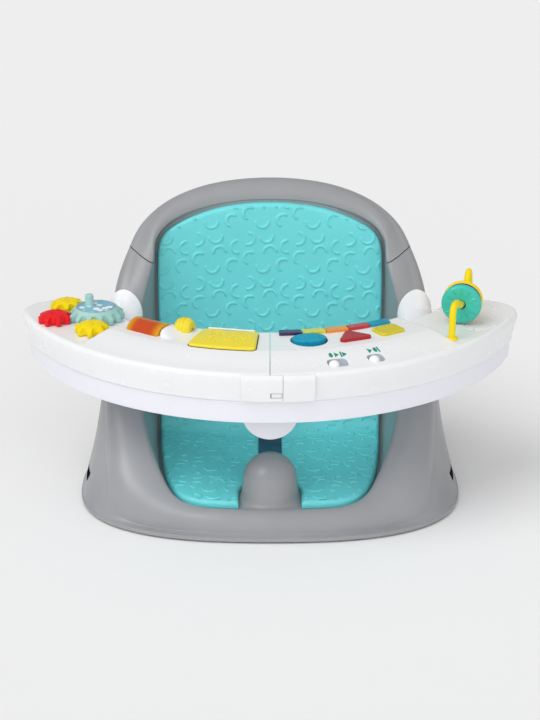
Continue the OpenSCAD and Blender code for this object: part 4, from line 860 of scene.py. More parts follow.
@dataclass
class SeatShell:
    """The grey shell with its arch, pommel, wing slots, base plate and feet."""

    rim: RimShape = RimShape()
    fineness: int = 8
    spans: int = 24
    seam_h: float = 242.0
    seam_gap: float = 0.9
    seam_x: float = 139.0
    seam_rise: float = 0.5
    seam_back: float = 95.0
    seam_drop: float = 25.0
    seam_fade: float = 30.0
    pommel_w: float = 58.0
    pommel_d: float = 56.0
    pommel_h: float = 75.0
    pommel_y: float = -68.0
    pommel_top: float = 0.47
    sides: int = 64
    fillet: float = 9.0
    slot_x: float = 191.0
    slot_through: float = 34.0
    slot_len: float = 24.0
    slot_h: float = 9.0
    slot_z: float = 17.6
    slot_y: float = 2.0

    def skin(self) -> Form:
        """Return the whole closed skin, from the recess underneath to the liner's bed."""
        half = (len(self.rim.crest_rows) - 1) * self.fineness
        stations = np.arange(half + 1) / self.fineness
        sections = np.array([self.rim.section(u) for u in stations])
        mirrored = sections[-2:0:-1] * [-1, 1, 1]
        around = np.concatenate([sections, mirrored]).transpose(1, 0, 2)
        rows, columns = around.shape[:2]
        points = [around.reshape(-1, 3)]
        faces = grid_faces(rows, columns)
        faces.append(list(range(columns))[::-1])
        fill = []
        for j in range(1, half):
            share, along = self.rim.at(self.rim.liner_rows, stations[j])
            for c in range(1, self.spans):
                x = (1 - 2 * c / self.spans) * share * self.rim.liner_half
                fill.append(self.rim.on_bed(x, along, 0))
        points.append(np.array(fill))
        last = (rows - 1) * columns
        start = rows * columns

        def bed_row(j: int) -> list[int]:
            """Return the point numbers across the bed at a station."""
            inside = [start + (j - 1) * (self.spans - 1) + c for c in range(self.spans - 1)]
            return [last + j] + inside + [last + columns - j]

        first, end = bed_row(1), bed_row(half - 1)
        for k in range(self.spans):
            faces.append([last, first[k + 1], first[k]][::-1])
            faces.append([end[k], end[k + 1], last + half][::-1])
        for j in range(1, half - 1):
            a, b = bed_row(j), bed_row(j + 1)
            faces += [[a[k], b[k], b[k + 1], a[k + 1]] for k in range(self.spans)]
        return np.vstack(points), faces

    def pommel(self) -> Form:
        """Return the pommel: a drawn-in post with a fillet at its foot and a round top."""
        top_r = self.pommel_w * self.pommel_top
        floor = self.rim.floor_h
        straight = self.pommel_h - top_r - floor
        profile = [(self.pommel_w / 2 + self.fillet, floor - 3.0)]
        for a in np.radians(np.arange(0, 91, 10)):
            grow = self.fillet * (1 - sin(a))
            profile.append((self.pommel_w / 2 + grow, floor + self.fillet * (1 - cos(a))))
        first = self.fillet / straight
        for t in np.linspace(first, 1, 6)[1:]:
            share = (t - first) / (1 - first)
            profile.append((self.pommel_w / 2 + (top_r - self.pommel_w / 2) * share,
                            floor + straight * t))
        profile += arc(0.0, self.pommel_h - top_r, top_r, np.arange(8, 90, 8))
        profile.append((0.3, self.pommel_h))
        points, faces = lathe(profile, self.sides)
        faces.append(list(range(len(points) - self.sides, len(points))))
        points[:, 1] = points[:, 1] * self.pommel_d / self.pommel_w + self.pommel_y
        return points, faces

    def part(self, name: str, lower: bool) -> Object:
        """Cut the skin at the sloping seam and keep one side, closed, from a mirrored half."""
        piece = new_piece(name, self.skin(), GREY)
        shape = bmesh.new()
        shape.from_mesh(piece.data)

        def everything() -> list:
            """Return all of the form's vertices, edges and faces."""
            return list(shape.verts) + list(shape.edges) + list(shape.faces)

        bmesh.ops.bisect_plane(shape, geom=everything(), plane_co=(0, 0, 0),
                               plane_no=(1, 0, 0), clear_inner=True)
        shift = -self.seam_gap / 2 if lower else self.seam_gap / 2

        def lean(place: Sequence[float]) -> float:
            """Return how far the seam is off the level at a place: it slopes at the shoulders."""
            t = min(1.0, max(0.0, (place[1] / MM - self.seam_back) / self.seam_fade))
            out = max(place[0] / MM - self.seam_x, -self.seam_drop)
            return self.seam_rise * out * (1 - t * t * (3 - 2 * t)) * MM

        for vertex in shape.verts:
            vertex.co.z -= lean(vertex.co)
        cut = bmesh.ops.bisect_plane(
            shape, geom=everything(), plane_co=(0, 0, (self.seam_h + shift) * MM),
            plane_no=(0, 0, 1), clear_outer=lower, clear_inner=not lower,
        )
        edges = [e for e in cut["geom_cut"] if isinstance(e, BMEdge)]
        filled = bmesh.ops.holes_fill(shape, edges=edges, sides=0)
        bmesh.ops.triangulate(shape, faces=filled["faces"])
        for vertex in shape.verts:
            vertex.co.z += lean(vertex.co)
        copy = bmesh.ops.duplicate(shape, geom=everything())["geom"]
        bmesh.ops.scale(shape, vec=(-1, 1, 1), verts=[v for v in copy if isinstance(v, BMVert)])
        bmesh.ops.reverse_faces(shape, faces=[f for f in copy if isinstance(f, BMFace)])
        bmesh.ops.remove_doubles(shape, verts=[v for v in shape.verts if abs(v.co.x) < 1e-5], dist=1e-5)
        if lower:
            extra_points, extra_faces = self.pommel()
            made = [shape.verts.new(p * MM) for p in extra_points]
            for face in extra_faces:
                shape.faces.new([made[i] for i in face])
        shape.to_mesh(piece.data)
        shape.free()
        smooth(piece.data, 40.0)
        return piece

    def cut_slots(self, shell: Object) -> None:
        """Cut the strap slot into each wing; its inside is painted black for the shade in it."""
        reach, half = self.slot_through / 2, self.slot_len / 2
        for side in (-1, 1):
            x = side * self.slot_x
            form = box((x - reach, x + reach), (self.slot_y - half, self.slot_y + half),
                       (self.slot_z, self.slot_z + self.slot_h))
            # Painted shade: the cutter's black goes to the slot's inner faces as the shade inside it.
            cutter = new_piece(f"cutter_{side}", form, SLOT_SHADE_BLACK, outwards=False)
            cut = shell.modifiers.new("slot", "BOOLEAN")
            cut.operation = "DIFFERENCE"
            cut.solver = "EXACT"
            cut.material_mode = "TRANSFER"
            cut.object = cutter
        made = evaluated(shell)
        shell.modifiers.clear()
        shell.data = made
        for side in (-1, 1):
            bpy.data.objects.remove(bpy.data.objects[f"cutter_{side}"])

    def build(self) -> None:
        """Make the shell, the arch and what closes the shell from below."""
        shell = self.part("seat_shell_skin", lower=True)
        self.cut_slots(shell)
        soften(shell, 0.5, 2, 50.0)
        settle(shell, "seat_shell")
        arch = self.part("backrest_arch_skin", lower=False)
        soften(arch, 0.7, 3, 50.0)
        settle(arch, "backrest_arch")
        cover_node("base_plate", PLATE_GREY, 0.4, merge=False)
        cover_node("rubber_feet", RUBBER, 0.6)
        dress_node("base_screws", STEEL)


def evaluated(piece: Object) -> Mesh:
    """Return a piece's mesh with its modifiers worked in."""
    bpy.context.view_layer.update()
    graph = bpy.context.evaluated_depsgraph_get()
    return bpy.data.meshes.new_from_object(piece.evaluated_get(graph))


# --- liner and harness


class Tree(Nodes):
    """Writes a Geometry Nodes tree with named inputs."""

    def __init__(self, name: str, kinds: dict[str, str]) -> None:
        """Start a tree with its geometry output and the kinds of its named inputs."""
        super().__init__(bpy.data.node_groups.new(name, "GeometryNodeTree"))
        sockets = self.tree.interface.new_socket
        sockets("Geometry", in_out="OUTPUT", socket_type="NodeSocketGeometry")
        self.ids = {
            key: sockets(key, in_out="INPUT", socket_type="NodeSocket" + kind).identifier
            for key, kind in kinds.items()
        }
        self.given = self.tree.nodes.new("NodeGroupInput").outputs

    def finish(self, geometry: NodeSocket, finish: Finish) -> None:
        """End the tree in Realize Instances and Set Material."""
        whole = self.node("GeometryNodeRealizeInstances", Geometry=geometry)
        dressed = self.node("GeometryNodeSetMaterial", Geometry=whole.outputs["Geometry"],
                            Material=finish.build())
        out = self.tree.nodes.new("NodeGroupOutput")
        self.tree.links.new(dressed.outputs["Geometry"], out.inputs["Geometry"])

    def run(self, values: dict[str, object]) -> Mesh:
        """Evaluate the tree on an empty mesh.

        Args:
            values: a value for each named input.

        Returns:
            The result as a plain mesh.
        """
        holder = add_object("holder", bpy.data.meshes.new("holder"))
        modifier = holder.modifiers.new("tree", "NODES")
        modifier.node_group = self.tree
        for name, value in values.items():
            modifier[self.ids[name]] = value
        made = evaluated(holder)
        bpy.data.objects.remove(holder)
        return made


@dataclass
class Liner:
    """The foam pad: one crowned sheet with a rounded edge and raised arcs on it."""

    rim: RimShape = RimShape()
    thickness: float = 7.0
    crown: float = 1.2
    edge_gap: float = 2.5
    edge_r: float = 2.4
    air: float = 0.3
    cell: float = 2.0
    notch_half: float = 32.0
    notch_end: float = 59.0
    arc_r: float = 6.7
    arc_w: float = 4.3
    arc_h: float = 1.25
    arc_margin: float = 1.6
    arc_turn: float = 105.0
    arc_steps: int = 15
    arc_across: int = 7
    arc_close: float = 14.0
    arc_sink: float = 0.25
    columns: int = 7
    rows: int = 11
    jitter: float = 0.3
    pitch_x: float = 53.5
    pitch_s: float = 49.0
    seed: int = 11
    # Place of each arc in one repeat, and the way that its opening faces in degrees.
    motif: tuple = (
        (0.0, 0.0, 275), (-21.4, -6.6, -30), (-8.1, -15.5, 90), (14.2, -14.4, -30),
        (-23.4, -34.3, 170), (-3.7, -31.6, 100), (-34.6, -43.1, 5),
    )

    def __post_init__(self) -> None:
        """Work out the pad's outline, laid flat."""
        last = len(self.rim.liner_rows) - 1
        half = [self.rim.at(self.rim.liner_rows, u) for u in np.linspace(0, last, 16 * last + 1)]
        self.length = self.rim.liner_rows[-1][1]
        grow = 1 - 2 * self.edge_gap / self.length
        right = np.array([
            [a * (self.rim.liner_half - self.edge_gap), self.edge_gap + s * grow]
            for a, s in half
        ])
        self.outline = np.vstack([right, right[-2:0:-1] * [-1, 1]])
        self.half_s = right[:, 1]
        self.half_x = right[:, 0]

    def inside(self, flat: np.ndarray) -> np.ndarray:
        """Return how far points lie inside the pad's outline and outside the pommel's notch."""
        middle = self.notch_end - self.notch_half
        beyond = np.maximum(flat[:, 1] - middle, 0)
        notch = np.hypot(flat[:, 0], beyond) - self.notch_half
        return np.minimum(outline_depth(flat, self.outline), notch)

    def lift(self, x: np.ndarray, s: np.ndarray) -> np.ndarray:
        """Return the height of the pad's face above its bed, away from its edge."""
        width = np.interp(s, self.half_s, self.half_x)
        across = np.clip(np.abs(x) / np.maximum(width, 1.0), 0, 1)
        return self.air + self.thickness + self.crown * (1 - across**2)

    def wrap(self, flat: np.ndarray, height: np.ndarray) -> np.ndarray:
        """Lay flat points on the bed, each at its height above it."""
        return np.array([self.rim.on_bed(p[0], p[1], h) for p, h in zip(flat, height)])

    def face(self, flat: np.ndarray, depth: np.ndarray) -> np.ndarray:
        """Return the height of the pad's face, rounded off towards its edge."""
        return self.lift(flat[:, 0], flat[:, 1]) - round_off(depth, self.edge_r)

    def pad(self) -> Object:
        """Return the pad: a grid that is drawn onto the outline, with a face and a back."""
        xs = np.arange(-self.rim.liner_half, self.rim.liner_half + 0.1, self.cell)
        ss = np.arange(0.0, self.length + self.cell, self.cell)
        form = slab(
            self.inside, xs, ss,
            lambda flat, depth: self.wrap(flat, self.face(flat, depth)),
            lambda flat: self.wrap(flat, np.full(len(flat), self.air)),
            rings=2,
        )
        return new_piece("seat_liner_pad", form, FOAM_TEAL, 60.0)

    def arc_mesh(self) -> Mesh:
        """Return one repeat of the raised arcs, in millimetres: round ridges, each on a C."""
        points: list[tuple[float, float, float]] = []
        for x, y, opening in self.motif:
            for a in np.linspace(-self.arc_turn, self.arc_turn, self.arc_steps):
                closing = min(1.0, (self.arc_turn - abs(a)) / self.arc_close + 0.25)
                turn = radians(a + opening + 180)
                for v in np.linspace(-1, 1, self.arc_across):
                    r = self.arc_r + v * self.arc_w / 2 * closing
                    rise = self.arc_h * closing * (1 - v * v) ** 0.7 - self.arc_sink
                    points.append((x + r * cos(turn), y + r * sin(turn), rise))
        faces = []
        for start in range(0, len(points), self.arc_steps * self.arc_across):
            faces += grid_faces(self.arc_steps, self.arc_across, start, closed=False)
        mesh = bpy.data.meshes.new("arc")
        mesh.from_pydata(points, [], faces)
        return mesh

    def lay_arcs(self) -> np.ndarray:
        """Lay repeats of the arcs in a grid over the flat pad, each a little out of place."""
        tree = Tree("arc_field", {"Width": "Float", "Length": "Float", "Columns": "Int",
                                  "Rows": "Int", "Jitter": "Float", "Seed": "Int",
                                  "Arcs": "Object"})
        given = tree.given
        grid = tree.node("GeometryNodeMeshGrid", Vertices_X=given["Columns"],
                         Vertices_Y=given["Rows"], Size_X=given["Width"], Size_Y=given["Length"])
        stray = tree.node("FunctionNodeRandomValue", {"data_type": "FLOAT_VECTOR"},
                          Min=(-1.0, -1.0, 0.0), Max=(1.0, 1.0, 0.0), Seed=given["Seed"])
        shift = tree.node("ShaderNodeVectorMath", {"operation": "SCALE"}, Scale=given["Jitter"])
        tree.feed(shift.inputs[0], stray.outputs[0])
        moved = tree.node("GeometryNodeSetPosition", Geometry=grid.outputs["Mesh"],
                          Offset=shift.outputs[0])
        source = tree.node("GeometryNodeObjectInfo", Object=given["Arcs"])
        spread = tree.node("GeometryNodeInstanceOnPoints", Points=moved.outputs["Geometry"],
                           Instance=source.outputs["Geometry"])
        tree.finish(spread.outputs["Instances"], FOAM_TEAL)
        arcs = add_object("arcs", self.arc_mesh())
        width, length = (self.columns - 1) * self.pitch_x, (self.rows - 1) * self.pitch_s
        made = tree.run({"Width": width, "Length": length, "Columns": self.columns,
                         "Rows": self.rows, "Jitter": self.jitter, "Seed": self.seed,
                         "Arcs": arcs})
        bpy.data.objects.remove(arcs)
        found = np.zeros(len(made.vertices) * 3, np.float32)
        made.vertices.foreach_get("co", found)
        found = found.reshape(-1, 3).astype(float)
        found[:, 1] += length / 2
        return found

    def arcs(self) -> Object:
        """Return the raised arcs, laid out flat by Geometry Nodes and wrapped on the pad."""
        flat = self.lay_arcs()
        depth = self.inside(flat[:, :2])
        height = self.face(flat[:, :2], np.maximum(depth, 0)) + flat[:, 2]
        wrapped = self.wrap(flat[:, :2], height)
        faces = []
        for start in range(0, len(flat), self.arc_steps * self.arc_across):
            ring = grid_faces(self.arc_steps, self.arc_across, start, closed=False)
            faces += [f for f in ring if depth[f].min() > self.arc_margin]
        used = sorted({i for f in faces for i in f})
        number = {old: new for new, old in enumerate(used)}
        faces = [[number[i] for i in f] for f in faces]
        return new_piece("seat_liner_arcs", (wrapped[used], faces), FOAM_TEAL, 80.0, False)

    def build(self) -> None:
        """Make the pad and its arcs."""
        pad = settle(self.pad(), "seat_liner")
        settle(self.arcs(), "seat_liner", stands=False)


@dataclass
class Harness:
    """The lap harness: the crotch strap, the two waist straps and the buckle."""

    rim: RimShape = RimShape()
    width: float = 25.0
    thickness: float = 1.6
    rib_pitch: float = 2.0
    rib_depth: float = 0.28
    lift: float = 9.6
    slot_x: float = 96.0
    slot_h: float = 90.0
    slot_y: float = 4.0
    buckle_w: float = 42.0
    buckle_t: float = 14.0

    def band(self, name: str, way: np.ndarray, across: int) -> Object:
        """Make a ribbed band along a way.

        Args:
            name: the band's name.
            way: points of its middle line, in the plane square to its width.
            across: the axis along its width.

        Returns:
            The band.
        """
        fine = curve_through(way, 10)
        gone = np.concatenate([[0], np.cumsum(np.linalg.norm(np.diff(fine, axis=0), axis=1))])
        steps = np.arange(0, gone[-1], self.rib_pitch / 4)
        fine = np.stack([np.interp(steps, gone, fine[:, k]) for k in range(3)], axis=1)
        run = np.gradient(fine, axis=0)
        run /= np.linalg.norm(run, axis=1)[:, None]
        wide = np.eye(3)[across]
        normal = np.cross(run, wide)
        ribs = self.thickness / 2 + self.rib_depth * np.sin(2 * np.pi * steps / self.rib_pitch)
        edge = [(-0.5, 0.35), (-0.47, 1), (0.47, 1), (0.5, 0.35)]
        edge += [(x, -share) for x, share in edge[::-1]]
        rings = [fine + wide * self.width * x + normal * (ribs * share)[:, None] for x, share in edge]
        points = np.stack(rings, axis=1).reshape(-1, 3)
        return new_piece(name, (points, closed_grid(len(fine), len(rings))), WEBBING, 70.0)

    def crotch(self) -> Object:
        """Make the strap from the seat up to the buckle."""
        start = self.slot_y - self.rim.floor_front
        stop = self.rim.floor_len + self.rim.bend_r * radians(90 - self.rim.back_lean) + 22
        way = [[0, self.slot_y, self.rim.floor_h - 6],
               [0, self.slot_y, self.rim.floor_h + self.lift - 3]]
        for s in np.linspace(start + 5, stop, 9):
            way.append(self.rim.on_bed(0, s, self.lift))
        return self.band("crotch_strap_band", np.array(way, float), 0)

    def waist(self, side: int) -> Object:
        """Make one waist strap, from its slot in the liner to the buckle."""
        y = self.rim.bed(self.rim.floor_len + 53)[0] - self.lift
        curl = self.rim.liner_curl * (self.slot_x / self.rim.liner_half) ** 2
        flat = [
            (self.slot_x, y + 18), (self.slot_x, y - curl + 3), (self.slot_x - 5, y - curl - 3),
            (self.slot_x - 22, y - curl - 1.6), (self.slot_x / 2, y - 4),
            (self.buckle_w / 2 + 6, y - self.buckle_t / 2 + 2),
            (self.buckle_w / 2 - 4, y - self.buckle_t / 2 + 1.6),
        ]
        way = np.array([[side * a, b, self.slot_h] for a, b in flat])
        name = "waist_strap_right_band" if side > 0 else "waist_strap_left_band"
        return self.band(name, way, 2)

    def build(self) -> None:
        """Make the straps and dress the buckle."""
        settle(self.crotch(), "crotch_strap")
        settle(self.waist(1), "waist_strap_right")
        settle(self.waist(-1), "waist_strap_left")
        cover_node("harness_buckle", BUCKLE, 1.6, 4)


# --- trays


@dataclass(frozen=True)
class TrayForm:
    """Sizes that the two trays and the toys on them share."""

    rim_r: float = 274.0
    rim_cy: float = 123.0
    ridge_h: float = 193.0
    platform_h: float = 201.5
    ridge_w: float = 3.0
    slope_w: float = 38.0
    toy_cy: float = 120.0
    lobe_x: float = 225.16
    lobe_y: float = 34.31

    def at_toy(self, dist: float, angle: float) -> np.ndarray:
        """Return the place at a distance and an angle about the toys' centre."""
        return self.about(self.toy_cy, dist, angle)

    def at_rim(self, dist: float, angle: float) -> np.ndarray:
        """Return the place at a distance and an angle about the front edge's centre."""
        return self.about(self.rim_cy, dist, angle)

    def about(self, middle: float, dist: float, angle: float) -> np.ndarray:
        """Return the place at a distance and an angle from the front about a centre."""
        a = radians(angle)
        return np.array([dist * sin(a), middle - dist * cos(a)])


@dataclass
class Recess:
    """A pocket or hole in a deck's top, with a soft lip that covers the cut edge."""

    name: str
    place: np.ndarray
    turn: float
    half_w: float
    half_d: float
    corner: float
    floor_z: float
    lip: float = 3.4
    wall_rows: tuple = ((0.6, -0.09), (0.2, -0.04), (0.0, 0.18), (-0.15, 0.8))
    floor_rows: tuple = ((-0.2, 0.9), (-0.45, 0.3), (-1.2, 0.0))

    def depth(self, flat: np.ndarray) -> np.ndarray:
        """Return how far flat points lie inside the recess."""
        rel = flat - self.place
        c, s = cos(self.turn), sin(self.turn)
        local = np.stack([rel @ [c, s], rel @ [-s, c]], axis=1)
        return box_depth(local, self.half_w, self.half_d, self.corner)

    def ring(self, grow: float) -> np.ndarray:
        """Return the recess's outline in the deck's plane, grown or shrunk."""
        r = max(self.corner + grow, 0.3)
        found = []
        for sx, sy, start in ((1, 1, 0), (-1, 1, 90), (-1, -1, 180), (1, -1, 270)):
            found += arc(sx * (self.half_w - self.corner), sy * (self.half_d - self.corner), r,
                         np.linspace(start, start + 90, 13))
        c, s = cos(self.turn), sin(self.turn)
        return np.array(found) @ np.array([[c, s], [-s, c]]) + self.place

    def build(self, top_z: Callable[[np.ndarray], np.ndarray]) -> None:
        """Make the lip, the wall and the floor as one closed form; the lower wall and the floor take a
        grey that paints the shade in the recess.
        """
        upper = ((self.lip, 1.4), (self.lip, -0.03), *self.wall_rows)
        rows = [level(self.ring(-1.0), self.floor_z - 0.8)]
        for grow, drop in upper:
            flat = self.ring(grow)
            rows.append(np.column_stack([flat, top_z(flat) - drop]))
        for grow, rise in self.floor_rows:
            rows.append(level(self.ring(grow), self.floor_z + rise))
        columns = len(rows[0])
        form = np.vstack(rows), closed_grid(len(rows), columns)
        piece = add_piece("toy_deck_right", self.name, form, DECK_WHITE, 50.0, stands=False)
        # Painted shade: the lower wall and the floor of the recess are grey for the shade in it.
        piece.data.materials.append(POCKET_SHADE_GREY.build())
        for face in piece.data.polygons:
            face.material_index = int(min(face.vertices) // columns >= len(upper) - 1)


@dataclass
class Deck:
    """One toy deck: a moulded skin with a raised platform, soft shoulders and pockets."""

    side: int
    form: TrayForm = TrayForm()
    lobe_r: float = 32.0
    lobe_angle: float = 21.5
    lobe_skew: float = 17.0
    belly_r: float = 207.0
    belly_cy: float = 150.5
    platform_angle: float = 44.0
    shoulder: float = 7.0
    half_gap: float = 0.3
    low: float = 163.5
    taper: float = 5.0
    rim_round: float = 4.5
    belly_round: float = 2.2
    cell: float = 1.5
    reach_x: float = 260.0
    front_y: float = -152.0
    rear_y: float = 70.0
    front_r: float = 240.0
    recess_in: float = 1.2
    recess_down: float = 1.6
    crease: float = 42.0
    pocket_w: tuple[float, float] = (20.0, 16.5)
    pocket_d: float = 13.0
    pocket_z: float = 189.5
    pocket_r: float = 4.5
    pocket_back: float = 1.5
    hole_air: float = 0.6
    hole_depth: float = 4.3

    def outline(self) -> np.ndarray:
        """Return both decks' common outline, from the front's middle round to it again."""
        form = self.form
        front = arc(0, form.rim_cy, form.rim_r, np.linspace(-90, -self.lobe_angle, 60))
        turns = np.linspace(3 - self.lobe_angle, 90 + self.lobe_skew, 40)
        lobe = np.array(arc(form.lobe_x, form.lobe_y, self.lobe_r, turns))
        way = -np.array([cos(radians(self.lobe_skew)), sin(radians(self.lobe_skew))])
        q = lobe[-1] - [0, self.belly_cy]
        b = q @ way
        meet = lobe[-1] + (-b - sqrt(b * b - q @ q + self.belly_r**2)) * way
        start = math.degrees(math.asin((meet[1] - self.belly_cy) / self.belly_r))
        belly = arc(0, self.belly_cy, self.belly_r, np.linspace(start, -90, 60))
        half = np.vstack([front, lobe, belly])
        return np.vstack([half, half[-2:0:-1] * [-1, 1]])

    def top_z(self, flat: np.ndarray) -> np.ndarray:
        """Return the height of the top, with the platform's slopes and rounded shoulders."""
        form = self.form
        x, y = np.abs(flat[:, 0]), flat[:, 1] - form.rim_cy
        r = np.hypot(x, y)
        share = np.clip((form.rim_r - form.ridge_w - 0.6 - r) / form.slope_w, 0, 1)
        share = share - 0.04 * np.sin(2 * np.pi * share)
        a = np.radians(self.platform_angle)
        beyond = x * cos(a) + y * sin(a)
        end = np.clip(-beyond / self.shoulder + 0.5, 0, 1)
        return form.ridge_h + (form.platform_h - form.ridge_h) * share * np.sqrt(1 - (1 - end) ** 2.4)

    def recesses(self) -> list[Recess]:
        """Return the two switch pockets and the round button's hole."""
        found = []
        for i, (angle, width) in enumerate(zip(Sounds.switch_angles, self.pocket_w)):
            place = self.form.at_rim(Sounds.switch_dist - self.pocket_back, angle)
            found.append(Recess(f"switch_pocket_{i}", place, radians(angle), width / 2,
                                self.pocket_d / 2, self.pocket_r, self.pocket_z))
        low, high = (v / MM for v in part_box("round_button"))
        place = np.array([(low.x + high.x) / 2, (low.y + high.y) / 2])
        r = (high.x - low.x) / 2 + self.hole_air
        found.append(Recess("round_hole", place, 0.0, r, r, r - 0.01, low.z - self.hole_depth))
        return found

    def build(self) -> None:
        """Make the deck's skin."""
        outline = self.outline()
        middle = [0, self.form.rim_cy]
        xs = self.half_gap + np.arange(0, self.reach_x / self.cell) * self.cell
        ys = np.arange(self.front_y, self.rear_y, self.cell)

        def depth_of(flat: np.ndarray) -> np.ndarray:
            """Return how far points lie inside the deck."""
            return np.minimum(outline_depth(flat, outline), flat[:, 0] - self.half_gap + 0.5
                              * self.cell)

        def top(flat: np.ndarray, depth: np.ndarray) -> np.ndarray:
            """Return the upper face's points."""
            z = self.top_z(flat)
            edge = np.maximum(outline_depth(flat, outline), 0)
            far_out = np.hypot(flat[:, 0], flat[:, 1] - middle[1]) > self.front_r
            z = z - round_off(edge, np.where(far_out, self.rim_round, self.belly_round))
            if self.side > 0:
                for recess in self.recesses():
                    z = np.where(recess.depth(flat) > -self.recess_in,
                                 recess.floor_z - self.recess_down, z)
            return np.column_stack([flat[:, 0] * self.side, flat[:, 1], z])

        def foot(flat: np.ndarray) -> np.ndarray:
            """Return the lower face's points, drawn in towards the front edge's centre."""
            rel = flat - middle
            far_out = np.linalg.norm(rel, axis=1) > self.front_r
            scale = np.where(far_out, 1 - self.taper / self.form.rim_r, 1.0)
            inner = rel * scale[:, None] + middle
            return level(inner * [self.side, 1], self.low)

        node = "toy_deck_right" if self.side > 0 else "toy_deck_left"
        form = slab(depth_of, xs, ys, top, foot, rings=3)
        piece = new_piece(node + "_skin", form, DECK_WHITE, self.crease)
        with editing(piece.data) as shape:
            bmesh.ops.remove_doubles(shape, verts=shape.verts, dist=0.4 * MM)
            bmesh.ops.dissolve_degenerate(shape, edges=shape.edges, dist=0.05 * MM)
        smooth(piece.data, self.crease)
        flatten(piece)
        if self.side > 0:
            for recess in self.recesses():
                recess.build(self.top_z)
        settle(piece, node)


@dataclass
class Hook:
    """A white hook that wraps an arm of the shell, as a smooth hood."""

    rim: RimShape = RimShape()
    gap: float = 0.8
    thickness: float = 3.2
    start: float = 8.53
    length: float = 0.95
    nose: float = 0.78
    across: int = 25
    block_d: float = 9.5
    block_z: tuple[float, float] = (154.0, 162.0)

    def point(self, station: float, k: float, out: float) -> np.ndarray:
        """Return a point over the arm's section; k runs from -3 outside to 3 inside."""
        top = self.rim.crest(station)
        inner = self.rim.at(self.rim.inner_rows, station)
        angle, reach, drop = self.rim.at(self.rim.outer_rows, station)
        d = self.rim.base_point(angle) - top[:2]
        d /= np.linalg.norm(d)
        run = self.rim.crest(station + 0.2) - self.rim.crest(station - 0.2)
        run /= np.linalg.norm(run)
        up = np.array([0, 0, 1.0]) - run * run[2]
        up /= np.linalg.norm(up)
        a = radians(90 - 30 * abs(k))
        c, s = cos(a), sin(a)
        if k < 0:
            way, far, rise = d, d * reach, -drop
        else:
            way, far, rise = inner[:2] / np.linalg.norm(inner[:2]), inner[:2], inner[2]
        base = top + [far[0] * c, far[1] * c, rise * (1 - s)]
        return base + out * (np.array([way[0], way[1], 0]) * c + up * s)

    def build(self, side: int, node: str) -> None:
        """Make the hood on one side, with the block at its foot."""
        rows = []
        middle = self.gap + self.thickness / 2
        for w in np.linspace(0, 1, 40):
            t = 1 - (1 - w) ** 1.8
            station = self.start + self.length * t
            share = (1 - max(0.0, (t - self.nose) / (1.002 - self.nose)) ** 2.4) ** 0.5
            ks = np.linspace(-3, 3, self.across) * share
            under = [self.point(station, k, self.gap) for k in ks]
            over = [self.point(station, k, self.gap + self.thickness) for k in ks[::-1]]
            ends = [self.point(station, k * 1.04, middle) for k in (ks[-1], ks[0])]
            rows.append(under + [ends[0]] + over + [ends[1]])
        hood = np.array(rows).reshape(-1, 3), closed_grid(len(rows), 2 * self.across + 2)
        low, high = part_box(node)
        foot = self.point(self.start, -3, self.gap)
        block = box((foot[0] + 0.4, max(abs(low.x), abs(high.x)) / MM),
                    (foot[1] + 0.5, foot[1] + self.block_d), self.block_z)
        points, faces = joined([hood, block])
        add_piece(node, node + "_hood", (points * [side, 1, 1], faces), HOOK_WHITE, 60.0)


@dataclass
class Trays:
    """The snack tray with its tongue and hooks, and the two toy decks with their clasp."""

    form: TrayForm = TrayForm()
    window_at: tuple[float, float] = (6.1, 171.2)
    window_half: tuple[float, float] = (5.3, 2.4)
    window_out: tuple[float, float] = (-0.12, 0.6)
    ring_h: float = 0.5
    # Place, radius, wire, first angle and span of each ring or arc on the right deck.
    rings: tuple = (
        (208.7, -14.0, 13.5, 0.9, 0, 360), (208.7, -14.0, 9.5, 0.7, 0, 360),
        (150.0, 0.0, 14.0, 0.7, 150, 130), (163.0, 22.0, 15.0, 0.7, 30, 110),
        (234.4, 37.7, 3.6, 0.7, 0, 360), (229.1, 9.8, 3.2, 0.7, 0, 360),
        (241.8, 8.3, 3.2, 0.7, 0, 360),
    )

    def clasp_window(self) -> None:
        """Put the narrow window's frame on the clasp's front face."""
        mesh = frame["nodes"]["front_clasp_left"].data
        face = BVHTree.FromPolygons([v.co for v in mesh.vertices],
                                    [list(p.vertices) for p in mesh.polygons])
        (x, z), (half_w, half_h) = self.window_at, self.window_half
        bars = []
        for u, v, w, h in ((-half_w, 0, 0.65, half_h), (half_w, 0, 0.25, half_h),
                           (0, half_h, half_w, 0.25), (0, -half_h, half_w, 0.3)):
            points = []
            for su, out, sv in product((-1, 1), self.window_out, (-1, 1)):
                p, q = (x + u + su * w) * MM, (z + v + sv * h) * MM
                hit = face.ray_cast((p, -0.3, q), (0, 1, 0))[0]
                points.append([p / MM, hit.y / MM + out, q / MM])
            bars.append((np.array(points), BOX_FACES))
        add_piece("front_clasp_left", "clasp_window", joined(bars), WINDOW_GREY, stands=False)

    def mouldings(self) -> None:
        """Put the moulded rings and arcs on the right deck."""
        for i, (x, y, r, wire, start, span) in enumerate(self.rings):
            form = flat_ring(x, y, self.form.ridge_h, r, wire, 10, self.ring_h, start, span)
            add_piece("toy_deck_right", f"lobe_ring_{i}", form, DECK_WHITE, 60.0, stands=False)

    def build(self) -> None:
        """Make the trays."""
        cover_node("snack_tray", SNACK_WHITE, 1.0, 3, 35.0, merge=False)
        cover_node("tray_tongue", TONGUE_WHITE, 1.0, 3)
        Hook().build(1, "arm_hook_right")
        Hook().build(-1, "arm_hook_left")
        for side in ("left", "right"):
            cover_node(f"deck_cover_{side}", COVER_WHITE, 0.4, 2, merge=False)
            cover_node(f"front_clasp_{side}", DECK_WHITE, 0.7, 3)
            dress_node(f"deck_screws_{side}", STEEL)
        Deck(-1).build()
        Deck(1).build()
        self.mouldings()
        self.clasp_window()


# --- toys


